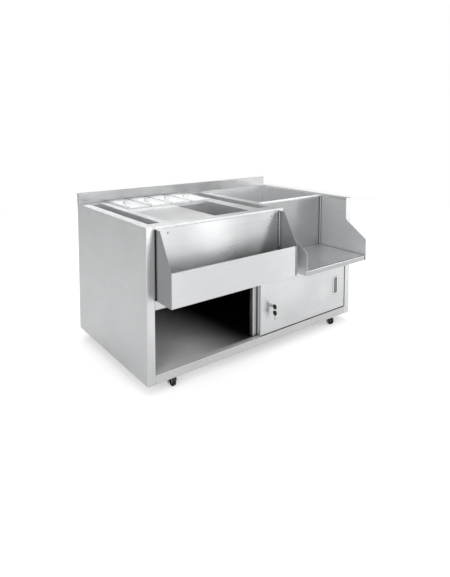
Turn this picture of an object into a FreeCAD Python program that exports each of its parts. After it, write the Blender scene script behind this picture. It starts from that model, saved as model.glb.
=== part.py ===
import FreeCAD, Part
import Sketcher
import math
import os

# Underbar station: a sheet-steel cabinet with a stepped worktop that holds an insulated ice bin,
# two bottle wells, four lidded garnish pans and a welded sink. A speed rail hangs on the front of
# the left block, a shelf fills the recess under the sink, two hanging doors slide below the header,
# and four swivel casters carry it.
#
# Pieces are drawn in cabinet coordinates: X from the left end, Y from the front face to the back,
# Z up from the ground. Their placements move the origin to the bottom centre of the whole unit.

doc = FreeCAD.newDocument("underbar_station")
sheet = doc.addObject("Spreadsheet::Sheet", "Sizes")

DRIVING_SIZES = (
    ("unit_length", 1400, "left end to right end"),
    ("unit_depth", 800, "front face to back face"),
    ("worktop_height", 765, "ground to working surface"),
    ("ground_clearance", 50, "ground to underside of cabinet"),
    ("gauge", 1.5, "sheet of cabinet and worktop"),
    ("bend_radius", 1.2, "inside radius of every fold"),
    ("post_width", 40, "front flange of a side panel"),
    ("post_return", 15, "return behind that flange"),
    ("rear_flange", 25, "flange behind the back panel"),
    ("plinth_height", 43, "strip under the doors"),
    ("floor_rear_fold", 20, "turned-down rear edge of the floor"),
    ("door_opening", 298, "floor to header"),
    ("header_height", 50, "front of the header"),
    ("header_deck", 100, "depth of the header's top flange"),
    ("header_fold", 14, "turned-down rear edge of the header"),
    ("recess_depth", 205, "step back of the right block"),
    ("lip_height", 12, "turned-down edge of the worktop"),
    ("splash_height", 60, "upstand behind the worktop"),
    ("splash_thickness", 12, "upstand, front to back"),
    ("splash_foot", 3, "upstand to the weld seam in front of it"),
    ("seam", 0.1, "hairline of a ground weld seam"),
    ("tub_gauge", 1.2, "sheet of sink, liner and wells"),
    ("tub_corner", 6, "inside radius of tub corners"),
    ("tub_cove", 8, "inside radius at tub floors"),
    ("tub_flange", 9, "weld flange under the worktop"),
    ("left_well_margin", 44, "left end to left bottle well"),
    ("left_well_width", 61, "left bottle well"),
    ("left_well_front", 62, "front face to left bottle well"),
    ("left_well_rear", 46, "left bottle well to upstand"),
    ("well_depth", 220, "both bottle wells"),
    ("right_well_width", 87, "right bottle well"),
    ("right_well_front", 68, "front face to right bottle well"),
    ("right_well_rear", 18, "right bottle well to upstand"),
    ("well_bin_gap", 38, "left bottle well to ice bin"),
    ("bin_front", 46, "front face to ice bin"),
    ("bin_well_gap", 73, "ice bin to right bottle well"),
    ("bin_pan_gap", 14, "ice bin to pan row"),
    ("insulation", 18, "foam round the ice bin"),
    ("jacket_gauge", 1, "outer shell of the foam"),
    ("under_bin_gap", 2.3, "header to foam jacket"),
    ("drain_radius", 19, "waste pipes, outside"),
    ("drain_wall", 1.5, "waste pipes"),
    ("drain_collar", 1.5, "step of a waste pipe where it passes its tub"),
    ("drain_drop", 42, "waste pipe below its tub"),
    ("drain_flange_radius", 43, "waste flange"),
    ("basket_depth", 20, "strainer basket"),
    ("basket_rim", 12, "strainer rim past the waste"),
    ("basket_knob", 8, "lifting knob of the strainer"),
    ("basket_knob_radius", 2.4, "lifting knob of the strainer"),
    ("basket_hole", 1.8, "holes of the strainer"),
    ("basket_hole_inset", 6, "strainer wall to its holes"),
    ("pan_width", 132, "garnish pan rim, left to right"),
    ("pan_offset", 3, "ice bin's end to pan row"),
    ("pan_length", 325, "garnish pan rim, front to back"),
    ("pan_depth", 100, "garnish pan"),
    ("pan_gap", 0.7, "between pan rims"),
    ("pan_rear_gap", 3, "pan rims to upstand"),
    ("pan_rim", 10, "flat rim of a pan"),
    ("pan_wall_gap", 2, "pan wall to its opening"),
    ("pan_gauge", 0.8, "sheet of pans and lids"),
    ("pan_corner", 14, "outside corner of a pan rim"),
    ("pan_draft", 2, "wall slope of a pan in degrees"),
    ("lid_rise", 4, "raised panel of a pan lid"),
    ("lid_margin", 9, "rim round the raised panel"),
    ("lid_inset", 1, "pan rim to lid"),
    ("lid_handle_length", 46, "strap on a pan lid"),
    ("lid_handle_width", 14, "strap on a pan lid"),
    ("lid_handle_height", 14, "strap on a pan lid"),
    ("lid_strap_foot", 8, "foot of that strap"),
    ("pan_well_gap", 29, "pan row to right bottle well"),
    ("well_step_gap", 30, "right bottle well to the step"),
    ("sink_left_gap", 20, "step to sink"),
    ("sink_right_margin", 43, "sink to right end"),
    ("sink_front_gap", 8, "recess to sink"),
    ("sink_rear_gap", 8, "sink to upstand"),
    ("sink_flange", 4, "weld flange of the sink"),
    ("sink_depth", 300, "working surface to sink floor"),
    ("cover_length", 285, "sliding cover of the ice bin"),
    ("cover_drop", 9, "working surface to cover"),
    ("cover_edge", 10, "turned-down edge of the cover"),
    ("runner_width", 9, "ledge that carries the cover"),
    ("runner_height", 14, "leg of that ledge"),
    ("running_gap", 0.3, "clearance of pieces that slide or lift"),
    ("rail_depth", 132, "speed rail, front to back"),
    ("rail_front_height", 155, "front of the speed rail"),
    ("rail_end_gap", 5, "speed rail to the left post"),
    ("rail_step_gap", 24, "speed rail to the step"),
    ("rail_drop", 8, "speed rail below the header's top"),
    ("rail_top_gap", 0.5, "speed rail to the worktop's lip"),
    ("rail_hem", 6, "folded front edge of the rail"),
    ("rail_top_flat", 38, "level top of the rail's end plate"),
    ("shelf_reach", 146, "shelf in front of the front face"),
    ("shelf_offset", 36, "step to shelf"),
    ("shelf_rise", 5, "shelf above the header's top"),
    ("shelf_lip", 27, "front edge of the shelf"),
    ("cheek_front", 95, "front edge of a shelf end above the shelf"),
    ("cheek_rise", 191, "level top of the left shelf end"),
    ("cheek_gap", 1, "shelf ends above the header"),
    ("screw_radius", 4.5, "head of a mounting screw"),
    ("screw_head", 2.4, "height of that head"),
    ("screw_inset", 62, "rail or shelf end to screw"),
    ("screw_drop", 23, "worktop lip's foot to screw"),
    ("door_thickness", 24, "sliding door"),
    ("door_front_gap", 3, "front face to front door"),
    ("door_pitch", 30, "front door to rear door"),
    ("door_overlap", 62, "doors lap when closed"),
    ("door_end_gap", 5, "door to post"),
    ("door_floor_gap", 3, "door to floor"),
    ("door_lap", 5, "door behind the header"),
    ("door_gauge", 1.2, "sheet of the doors"),
    ("door_slot", 8, "guide slot in a door's foot"),
    ("lining_fold", 6, "turned edge of a door's lining"),
    ("rear_door_shift", 28, "parked rear door, left of the front door"),
    ("pull_width", 44, "flush pull"),
    ("pull_height", 110, "flush pull"),
    ("pull_inset", 83, "door edge to middle of the pull"),
    ("pull_recess", 12, "depth of the flush pull"),
    ("pull_rim", 3.5, "rim of the flush pull"),
    ("pull_corner", 9, "corner of the flush pull"),
    ("track_height", 24, "door track"),
    ("track_width", 24, "door track"),
    ("track_slot", 8, "slot under a door track"),
    ("track_gauge", 1.5, "sheet of a door track"),
    ("glide_length", 40, "nylon glide in the track"),
    ("glide_height", 12, "nylon glide in the track"),
    ("hanger_inset", 70, "door edge to hanger"),
    ("hanger_gauge", 3, "stem of a door hanger"),
    ("hanger_foot", 2, "foot of a door hanger"),
    ("guide_length", 40, "floor guide of the doors"),
    ("guide_fin", 5, "fin of the floor guide"),
    ("guide_base", 1, "foot of the floor guide"),
    ("guide_rise", 6, "guide fins above the doors' feet"),
    ("lock_inset", 75, "door edge to lock"),
    ("lock_radius", 9.5, "lock barrel"),
    ("lock_head_radius", 11, "head of the lock barrel"),
    ("lock_head", 3, "head of the lock barrel"),
    ("plug_radius", 7, "turning plug of the lock"),
    ("running_fit", 0.05, "radial clearance of turning pins"),
    ("cam_length", 26, "lock cam"),
    ("cam_width", 9, "lock cam"),
    ("cam_gauge", 2, "lock cam"),
    ("cam_hook", 16, "hook of the lock cam, from its axis"),
    ("cam_gap", 1, "cam behind the door and off its keeper"),
    ("plug_proud", 1, "plug in front of the barrel"),
    ("keeper_inset", 16, "door edge to keeper"),
    ("keeper_height", 15, "keeper of the cam"),
    ("keeper_foot", 12, "keeper of the cam"),
    ("keeper_reach", 5, "keeper in front of the rear door"),
    ("key_gauge", 2.2, "keys"),
    ("key_reach", 26, "head of the key in front of the lock"),
    ("key_blade", 24, "blade of a key"),
    ("key_blade_width", 7, "blade of a key"),
    ("key_bow", 11, "radius of a key's head"),
    ("key_hole", 2.6, "radius of the hole in it"),
    ("spare_drop", 6, "that hole to the middle of the spare key's head"),
    ("ring_radius", 12, "split ring"),
    ("ring_wire", 0.9, "wire radius of the split ring"),
    ("wheel_radius", 25, "caster wheel"),
    ("wheel_width", 20, "caster wheel"),
    ("axle_radius", 4, "caster axle"),
    ("axle_head", 1.5, "axle outside the fork"),
    ("tread_chamfer", 3, "edges of the tread"),
    ("web_radius", 15.5, "inner edge of the tyre"),
    ("web_recess", 4, "tyre's side to the web"),
    ("hub_wall", 4, "hub round the axle"),
    ("caster_inset", 142, "unit end to caster"),
    ("caster_axis", 58, "front or back face to caster's swivel axis"),
    ("caster_trail", 30, "swivel axis to wheel axle"),
    ("fork_gauge", 2.5, "caster fork"),
    ("fork_gap", 1.5, "wheel to fork"),
    ("fork_leg", 9, "half the width of a fork's leg"),
    ("fork_cheek", 10, "height of a fork's side at its top"),
    ("fork_head_radius", 21, "top of a caster fork"),
    ("wheel_fork_gap", 8, "wheel to top of the fork"),
    ("race_height", 6, "ball race of a caster"),
    ("race_radius", 18, "ball race of a caster"),
    ("pin_radius", 4, "caster kingpin"),
    ("pin_head", 2, "foot of the kingpin"),
    ("pin_head_step", 2.5, "foot of the kingpin past its shank"),
    ("plate_size", 62, "caster plate"),
    ("plate_gauge", 2.5, "caster plate"),
    ("plate_corner", 5, "corner of a caster plate"),
    ("channel_width", 80, "hat channel over the casters"),
    ("channel_flange", 18, "hat channel over the casters"),
    ("channel_end_gap", 18, "front or back face to hat channel"),
)


class Size:
    """A length that carries its number and the spreadsheet formula it comes from."""

    def __init__(self, formula, value):
        self.formula = formula
        self.value = value

    def __add__(self, other):
        other = as_size(other)
        return Size(f"({self.formula} + {other.formula})", self.value + other.value)

    def __sub__(self, other):
        other = as_size(other)
        return Size(f"({self.formula} - {other.formula})", self.value - other.value)

    def __mul__(self, factor):
        return Size(f"({self.formula} * {factor})", self.value * factor)

    def __truediv__(self, divisor):
        return Size(f"({self.formula} / {divisor})", self.value / divisor)

    def __neg__(self):
        return Size(f"(0 - {self.formula})", -self.value)

    def __rsub__(self, other):
        return as_size(other) - self

    __radd__ = __add__
    __rmul__ = __mul__


def as_size(number):
    return number if isinstance(number, Size) else Size(repr(number), float(number))


class SizeTable:
    """The driving sizes by name, each bound to its spreadsheet cell."""

    def __init__(self, rows):
        for row, (alias, millimetres, meaning) in enumerate(rows, 1):
            sheet.set(f"A{row}", meaning)
            sheet.set(f"B{row}", str(millimetres))
            sheet.setAlias(f"B{row}", alias)
            setattr(self, alias, Size(f"Sizes.{alias}", float(millimetres)))


s = SizeTable(DRIVING_SIZES)
doc.recompute()
zero = as_size(0)

# ---- places worked out from the driving sizes, in cabinet coordinates ----

centre_x = s.unit_length / 2
centre_y = (s.unit_depth - s.shelf_reach) / 2
right_post = s.unit_length - s.post_width
floor_top = s.ground_clearance + s.plinth_height
header_bottom = floor_top + s.door_opening
header_top = header_bottom + s.header_height
sheet_top = s.worktop_height
sheet_under = s.worktop_height - s.gauge
lip_foot = s.worktop_height - s.lip_height
splash_front = s.unit_depth - s.splash_thickness
splash_top = s.worktop_height + s.splash_height

bin_left = s.left_well_margin + s.left_well_width + s.well_bin_gap
pan_left = bin_left + s.pan_offset
pan_row = 4 * s.pan_width + 3 * s.pan_gap
pan_front = splash_front - s.pan_rear_gap - s.pan_length
right_well_left = pan_left + pan_row + s.pan_well_gap
step_x = right_well_left + s.right_well_width + s.well_step_gap
bin_length = right_well_left - s.bin_well_gap - bin_left
bin_width = pan_front - s.bin_pan_gap - s.bin_front
bin_floor = header_top + s.under_bin_gap + s.jacket_gauge + s.insulation + s.tub_gauge
sink_left = step_x + s.sink_left_gap
sink_front = s.recess_depth + s.sink_front_gap
sink_length = s.unit_length - s.sink_right_margin - sink_left
sink_width = splash_front - s.sink_rear_gap - sink_front
sink_floor = s.worktop_height - s.sink_depth

# ---- drawing aids ----

PLANES = {"XY": ("XY_Plane", 1, False), "XZ": ("XZ_Plane", -1, True), "YZ": ("YZ_Plane", 1, False)}
subparts = []


def bind(thing, path, size):
    thing.setExpression(path, as_size(size).formula)


def place(thing, x, y, z):
    for axis, place_size in zip("xyz", (x, y, z)):
        bind(thing, f".Placement.Base.{axis}", place_size)


def new_body(name, x=zero, y=zero, z=zero, several=False):
    """A sub-part whose own origin lies at x, y, z of the cabinet."""
    body = doc.addObject("PartDesign::Body", name)
    body.Label = name
    body.AllowCompound = several
    place(body, x - centre_x, y - centre_y, z)
    subparts.append(body)
    return body


def new_sketch(body, plane, start):
    role, sense, _ = PLANES[plane]
    sketch = body.newObject("Sketcher::SketchObject", f"{body.Name}_outline")
    planes = [feature for feature in body.Origin.OriginFeatures if feature.Role == role]
    sketch.AttachmentSupport = [(planes[0], "")]
    sketch.MapMode = "FlatFace"
    bind(sketch, ".AttachmentOffset.Base.z", as_size(start) * sense)
    return sketch


def vector(point):
    return FreeCAD.Vector(point[0].value, point[1].value, 0)


def heading(here, there):
    """Unit direction of an outline's edge that runs along one sketch axis."""
    step = vector(there) - vector(here)
    if abs(step.x) > abs(step.y):
        return (1 if step.x > 0 else -1, 0)
    return (0, 1 if step.y > 0 else -1)


def moved(point, direction, distance):
    return tuple(place_size + sense * distance if sense else place_size
                 for place_size, sense in zip(point, direction))


class Pins:
    """Sketch constraints with the formulas that drive them."""

    def __init__(self, sketch):
        self.sketch = sketch
        self.constraints = []
        self.formulas = []

    def add(self, kind, *arguments):
        self.constraints.append(Sketcher.Constraint(kind, *arguments))
        self.formulas.append(None)

    def add_sized(self, kind, *arguments):
        self.constraints.append(Sketcher.Constraint(kind, *arguments[:-1], arguments[-1].value))
        self.formulas.append(arguments[-1].formula)

    def hold(self, edge, end, point):
        for axis, place_size in zip("XY", point):
            self.add_sized(f"Distance{axis}", -1, 1, edge, end, place_size)

    def apply(self):
        first = self.sketch.ConstraintCount
        self.sketch.addConstraint(self.constraints)
        for index, formula in enumerate(self.formulas, first):
            if formula:
                self.sketch.renameConstraint(index, f"size_{index}")
                self.sketch.setExpression(f"Constraints.size_{index}", formula)


def draw_outline(sketch, corners):
    """A closed outline; each corner is (x, y) or (x, y, radius) between edges along the axes."""
    points = [(as_size(corner[0]), as_size(corner[1])) for corner in corners]
    radii = [as_size(corner[2]) if len(corner) > 2 else None for corner in corners]
    count = len(points)
    arrivals = []
    departures = []
    turns = []
    for index in range(count):
        before = heading(points[index - 1], points[index])
        after = heading(points[index], points[(index + 1) % count])
        radius = radii[index]
        arrivals.append(points[index] if radius is None else moved(points[index], before, -radius))
        departures.append(points[index] if radius is None else moved(points[index], after, radius))
        turns.append((before, after))
    lines = sketch.addGeometry([
        Part.LineSegment(vector(departures[index]), vector(arrivals[(index + 1) % count]))
        for index in range(count)], False)
    pins = Pins(sketch)
    for index in range(count):
        line = lines[index]
        previous = lines[index - 1]
        pins.hold(line, 1, departures[index])
        if radii[index] is None:
            pins.add("Coincident", previous, 2, line, 1)
            continue
        pins.hold(previous, 2, arrivals[index])
        before, after = turns[index]
        leftward = before[0] * after[1] - before[1] * after[0] > 0
        centre = vector(moved(arrivals[index], after, radii[index]))
        ends = [vector(arrivals[index]), vector(departures[index])]
        if not leftward:
            ends.reverse()
        angles = [math.atan2(end.y - centre.y, end.x - centre.x) for end in ends]
        circle = Part.Circle(centre, FreeCAD.Vector(0, 0, 1), radii[index].value)
        arc = sketch.addGeometry(Part.ArcOfCircle(circle, angles[0], angles[1]), False)
        pins.add("Coincident", previous, 2, arc, 1 if leftward else 2)
        pins.add("Coincident", line, 1, arc, 2 if leftward else 1)
        pins.add_sized("Radius", arc, radii[index])
    pins.apply()


def draw_circle(sketch, x, y, radius):
    centre = (as_size(x), as_size(y))
    circle = Part.Circle(vector(centre), FreeCAD.Vector(0, 0, 1), as_size(radius).value)
    edge = sketch.addGeometry(circle, False)
    pins = Pins(sketch)
    pins.hold(edge, 3, centre)
    pins.add_sized("Radius", edge, as_size(radius))
    pins.apply()


def draw(sketch, shapes):
    """Shapes are outlines (lists of corners) or circles (x, y, radius)."""
    for shape in shapes:
        if isinstance(shape, tuple):
            draw_circle(sketch, *shape)
        else:
            draw_outline(sketch, shape)


def pad(body, plane, start, length, *shapes):
    """Material from start, for length along the plane's positive axis."""
    feature = body.newObject("PartDesign::Pad", f"{body.Name}_pad")
    sketch = new_sketch(body, plane, start)
    draw(sketch, shapes)
    feature.Profile = sketch
    bind(feature, "Length", length)
    feature.Reversed = PLANES[plane][2]
    body.Tip = feature
    return feature


def cut(body, plane, start, length, *shapes):
    """A hole from start, for length along the plane's positive axis."""
    doc.recompute()
    volume = body.Shape.Volume
    feature = body.newObject("PartDesign::Pocket", f"{body.Name}_cut")
    sketch = new_sketch(body, plane, start)
    draw(sketch, shapes)
    feature.Profile = sketch
    bind(feature, "Length", length)
    feature.Reversed = not PLANES[plane][2]
    body.Tip = feature
    doc.recompute()
    if body.Shape.Volume >= volume:
        raise RuntimeError(f"a cut in {body.Label} removes nothing")
    return feature


def turn(body, *profile):
    """A turned piece about its own Z axis; profile corners are (radius, z)."""
    feature = body.newObject("PartDesign::Revolution", f"{body.Name}_turning")
    sketch = new_sketch(body, "XZ", zero)
    draw(sketch, [list(profile)])
    feature.Profile = sketch
    feature.ReferenceAxis = (sketch, ["V_Axis"])
    feature.Angle = 360
    body.Tip = feature
    return feature


def round_edges(body, radius, chosen):
    """Fillet of every edge that the chosen test accepts."""
    doc.recompute()
    base = body.Tip
    names = [f"Edge{number}" for number, edge in enumerate(base.Shape.Edges, 1) if chosen(edge)]
    feature = body.newObject("PartDesign::Fillet", f"{body.Name}_rounding")
    feature.Base = (base, names)
    bind(feature, "Radius", radius)
    body.Tip = feature
    return feature


def at_level(edge, level):
    box = edge.BoundBox
    return abs(box.ZMin - level.value) < 0.01 and abs(box.ZMax - level.value) < 0.01


def rectangle(left, front, length, width, radius=None):
    """Outline from its low corner, counter-clockwise."""
    right = left + length
    rear = front + width
    corners = [(left, front), (right, front), (right, rear), (left, rear)]
    return corners if radius is None else [(x, y, radius) for x, y in corners]


def grown(left, front, length, width, margin, radius):
    """The same outline set outwards by a margin all round."""
    return rectangle(left - margin, front - margin, length + 2 * margin, width + 2 * margin, radius)


STEPS = {"+x": (1, 0), "-x": (-1, 0), "+y": (0, 1), "-y": (0, -1)}


def folded(start, runs, side, gauge=s.gauge):
    """Section of a folded sheet: runs of (direction, length), with the metal on one side of them."""
    ways = [STEPS[direction] for direction, _ in runs]
    path = [start]
    for way, (_, length) in zip(ways, runs):
        path.append(moved(path[-1], way, length))
    sense = 1 if side == "left" else -1
    normals = [(-way[1] * sense, way[0] * sense) for way in ways]
    near = [path[0]]
    far = [moved(path[0], normals[0], gauge)]
    for index in range(1, len(runs)):
        before = ways[index - 1]
        after = ways[index]
        inward = (before[0] * after[1] - before[1] * after[0]) * sense > 0
        corner = moved(moved(path[index], normals[index - 1], gauge), normals[index], gauge)
        outer_radius = s.bend_radius + gauge
        near.append((*path[index], outer_radius if inward else s.bend_radius))
        far.append((*corner, s.bend_radius if inward else outer_radius))
    near.append(path[-1])
    far.append(moved(path[-1], normals[-1], gauge))
    return near + far[::-1]


# ---- side panels: full depth, with a post flange in front and a flange behind ----

def side_panel(name, face, inward):
    body = new_body(name)
    outward = "-x" if inward == "+x" else "+x"
    start = moved((face, s.post_return), STEPS[inward], s.post_width)
    section = folded(start, [("-y", s.post_return), (outward, s.post_width),
                             ("+y", s.unit_depth), (inward, s.rear_flange)],
                     "right" if inward == "+x" else "left")
    pad(body, "XY", s.ground_clearance, sheet_under - s.ground_clearance, section)


side_panel("left_side_panel", zero, "+x")
side_panel("right_side_panel", s.unit_length, "-x")

# ---- back panel, between the rear flanges and the floor's rear fold ----

back_panel_front = s.unit_depth - 2 * s.gauge
back_panel = new_body("back_panel")
back_panel_left = s.gauge + s.bend_radius
pad(back_panel, "YZ", back_panel_left, s.unit_length - 2 * back_panel_left,
    folded((back_panel_front - s.floor_rear_fold, s.ground_clearance),
           [("+x", s.floor_rear_fold + s.gauge), ("+y", sheet_under - s.ground_clearance)], "left"))

# ---- cabinet floor: one sheet with the plinth folded down in front, notched round the posts ----

cabinet_floor = new_body("cabinet_floor")
pad(cabinet_floor, "YZ", s.gauge, s.unit_length - 2 * s.gauge,
    folded((s.post_return, s.ground_clearance),
           [("-x", s.post_return), ("+y", s.plinth_height), ("+x", back_panel_front),
            ("-y", s.floor_rear_fold)], "right"))
cut(cabinet_floor, "XY", zero, s.worktop_height,
    rectangle(zero, zero - s.post_return, s.post_width, 2 * s.post_return),
    rectangle(right_post, zero - s.post_return, s.post_width, 2 * s.post_return))

# ---- hat channels under the floor, one over each pair of casters ----

plate_top = 2 * s.wheel_radius + s.wheel_fork_gap + s.fork_gauge + s.race_height + s.plate_gauge
channel_height = floor_top - s.gauge - plate_top
caster_channels = new_body("caster_channels", several=True)


# the flanges lie flat under the floor and the web rests on the caster plates
def hat_channel_section(middle):
    half = s.channel_width / 2
    outer = half + s.channel_flange
    top = plate_top + channel_height
    under = top - s.gauge
    inner = half - s.gauge
    return [(middle - outer, top), (middle - outer, under), (middle - half, under, s.bend_radius),
            (middle - half, plate_top, s.bend_radius + s.gauge),
            (middle + half, plate_top, s.bend_radius + s.gauge), (middle + half, under, s.bend_radius),
            (middle + outer, under), (middle + outer, top),
            (middle + inner, top, s.bend_radius + s.gauge),
            (middle + inner, plate_top + s.gauge, s.bend_radius),
            (middle - inner, plate_top + s.gauge, s.bend_radius),
            (middle - inner, top, s.bend_radius + s.gauge)]


caster_columns = (s.caster_inset, s.unit_length - s.caster_inset)
pad(caster_channels, "XZ", s.channel_end_gap, back_panel_front - 2 * s.channel_end_gap,
    *[hat_channel_section(column) for column in caster_columns])

# ---- header over the doors, with a deck that carries the door tracks ----

opening_length = right_post - s.post_width
front_header = new_body("front_header")
pad(front_header, "YZ", s.post_width, opening_length,
    folded((zero, header_bottom),
           [("+y", s.header_height), ("+x", s.header_deck), ("-y", s.header_fold)], "right"))

# ---- apron: one folded sheet that follows the step of the worktop ----

front_apron = new_body("front_apron")
pad(front_apron, "XY", header_top, sheet_under - s.bend_radius - header_top,
    folded((s.post_width, zero),
           [("+x", step_x - s.post_width), ("+y", s.recess_depth), ("+x", right_post - step_x),
            ("-y", s.recess_depth - s.post_return)], "left"))

# ---- worktop: stepped sheet with a front lip, five cut-outs and an upstand. It is welded together
# from strips round the cut-outs; each ground seam is a hairline between two strips ----

worktop = new_body("worktop", several=True)
worktop_spans = (
    (zero, s.post_width + s.gauge, zero, False),
    (s.post_width + s.gauge, step_x + s.gauge, zero, True),
    (step_x + s.gauge, right_post - s.gauge, s.recess_depth, True),
    (right_post - s.gauge, s.unit_length, zero, False),
)
for left, right, front, has_lip in worktop_spans:
    upstand = [("+y", s.splash_height), ("+x", s.splash_thickness), ("-y", s.splash_height + s.gauge)]
    if has_lip:
        front_edge = front - s.gauge
        start = (front_edge, lip_foot)
        runs = [("+y", s.lip_height), ("+x", splash_front - front_edge)] + upstand
    else:
        start = (front, sheet_top)
        runs = [("+x", splash_front - front)] + upstand
    pad(worktop, "YZ", left, right - left, folded(start, runs, "right"))
pad(worktop, "XY", lip_foot, s.lip_height - s.gauge,
    rectangle(step_x, zero - s.gauge, s.gauge, s.recess_depth + s.gauge))
pad(worktop, "XY", lip_foot, s.lip_height - s.gauge,
    rectangle(right_post - s.gauge, zero, s.gauge, s.recess_depth))
for left in (zero, s.unit_length - s.gauge):
    pad(worktop, "YZ", left, s.gauge,
        rectangle(splash_front + s.gauge, sheet_under, s.splash_thickness - 2 * s.gauge,
                  s.splash_height))

left_well = (s.left_well_margin, s.left_well_front, s.left_well_width,
             splash_front - s.left_well_rear - s.left_well_front)
right_well = (right_well_left, s.right_well_front, s.right_well_width,
              splash_front - s.right_well_rear - s.right_well_front)
ice_bin = (bin_left, s.bin_front, bin_length, bin_width)
sink = (sink_left, sink_front, sink_length, sink_width)
pan_opening = (pan_left + s.pan_rim, pan_front + s.pan_rim, pan_row - 2 * s.pan_rim,
               s.pan_length - 2 * s.pan_rim)
cut(worktop, "XY", sheet_under, s.gauge, rectangle(*pan_opening),
    *[rectangle(*opening, s.tub_corner) for opening in (left_well, right_well, ice_bin, sink)])


def seams_beside(opening, start, end):
    """Two seams in line with an opening's sides, from one line across the sheet to another."""
    left, _, length, _ = opening
    return [rectangle(x, start, s.seam, end - start) for x in (left, left + length - s.seam)]


def seams_across(row, spans):
    return [rectangle(left, row, right - left, s.seam) for left, right in spans]


def rear_of(opening):
    return opening[1] + opening[3]


def right_of(opening):
    return opening[0] + opening[2]


lip_front = zero - s.gauge
splash_seam = splash_front - s.splash_foot
corner = s.tub_corner
bin_rear = rear_of(ice_bin)
cut(worktop, "XY", lip_foot, s.lip_height,
    *seams_beside(left_well, lip_front, left_well[1] + corner),
    *seams_beside(left_well, rear_of(left_well) - corner, splash_seam),
    *seams_beside(right_well, lip_front, right_well[1] + corner),
    *seams_beside(right_well, rear_of(right_well) - corner, splash_seam),
    *seams_beside(sink, s.recess_depth - s.gauge, sink_front + corner),
    *seams_beside(sink, rear_of(sink) - corner, splash_seam),
    *seams_beside(ice_bin, lip_front, s.bin_front + corner),
    *seams_beside(pan_opening, rear_of(pan_opening), splash_seam))
cut(worktop, "XY", lip_foot, s.lip_height,
    *seams_across(splash_seam, [(zero, s.unit_length)]),
    *seams_across(s.recess_depth - s.gauge - s.seam, [(right_of(right_well), step_x + s.gauge)]),
    *seams_across(bin_rear - s.seam, [(right_of(left_well), bin_left + corner),
                                      (right_of(ice_bin) - corner, right_well_left)]),
    *seams_across(pan_opening[1], [(right_of(left_well), pan_opening[0]),
                                   (right_of(pan_opening), right_well_left)]))

# ---- tubs welded under the worktop ----

collar_radius = s.drain_radius + s.drain_collar


def tub(name, opening, floor, flange, waste=False):
    body = new_body(name)
    outside = s.tub_corner + s.tub_gauge
    pad(body, "XY", floor - s.tub_gauge, sheet_under - floor + s.tub_gauge,
        grown(*opening, s.tub_gauge, outside))
    pad(body, "XY", sheet_under - s.tub_gauge, s.tub_gauge,
        grown(*opening, s.tub_gauge + flange, outside))
    cut(body, "XY", floor, sheet_under - floor, rectangle(*opening, s.tub_corner))
    round_edges(body, s.tub_cove, lambda edge: at_level(edge, floor))
    round_edges(body, s.tub_cove + s.tub_gauge, lambda edge: at_level(edge, floor - s.tub_gauge))
    if waste:
        x, y = middle_of(opening)
        cut(body, "XY", floor - s.tub_gauge, s.tub_gauge, (x, y, collar_radius))
    return body


def middle_of(opening):
    left, front, length, width = opening
    return left + length / 2, front + width / 2


well_floor = s.worktop_height - s.well_depth
tub("ice_bin_liner", ice_bin, bin_floor, s.tub_flange, waste=True)
tub("left_bottle_well", left_well, well_floor, s.tub_flange)
tub("right_bottle_well", right_well, well_floor, s.tub_flange)
tub("sink_bowl", sink, sink_floor, s.sink_flange, waste=True)

# ---- insulation round the ice bin and the jacket that holds it ----

def shell_round_bin(name, inner_margin, thickness):
    body = new_body(name)
    top = sheet_under - s.tub_gauge
    inside = s.tub_corner + inner_margin
    cavity_floor = bin_floor - inner_margin
    outer_margin = inner_margin + thickness
    pad(body, "XY", cavity_floor - thickness, top - cavity_floor + thickness,
        grown(*ice_bin, outer_margin, inside + thickness))
    cut(body, "XY", cavity_floor, top - cavity_floor, grown(*ice_bin, inner_margin, inside))
    round_edges(body, s.tub_cove + inner_margin, lambda edge: at_level(edge, cavity_floor))
    round_edges(body, s.tub_cove + outer_margin, lambda edge: at_level(edge, cavity_floor - thickness))
    x, y = middle_of(ice_bin)
    cut(body, "XY", cavity_floor - thickness, thickness, (x, y, collar_radius))


shell_round_bin("ice_bin_foam", s.tub_gauge, s.insulation)
shell_round_bin("ice_bin_jacket", s.tub_gauge + s.insulation, s.jacket_gauge)

# ---- wastes: a flange on the tub floor, a collar through the tub and a pipe below it ----

def waste(name, opening, floor, tail):
    x, y = middle_of(opening)
    body = new_body(name, x, y, floor)
    bore = s.drain_radius - s.drain_wall
    collar_foot = s.drain_drop - tail
    turn(body, (bore, -tail), (s.drain_radius, -tail), (s.drain_radius, collar_foot),
         (collar_radius, collar_foot), (collar_radius, zero), (s.drain_flange_radius, zero),
         (s.drain_flange_radius, s.drain_wall), (bore, s.drain_wall))
    return body


bin_tail = s.tub_gauge + s.insulation + s.jacket_gauge + s.drain_drop
sink_tail = s.tub_gauge + s.drain_drop
waste("ice_bin_drain", ice_bin, bin_floor, bin_tail)
waste("sink_drain", sink, sink_floor, sink_tail)

# ---- strainer basket that drops into the sink waste ----

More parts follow.
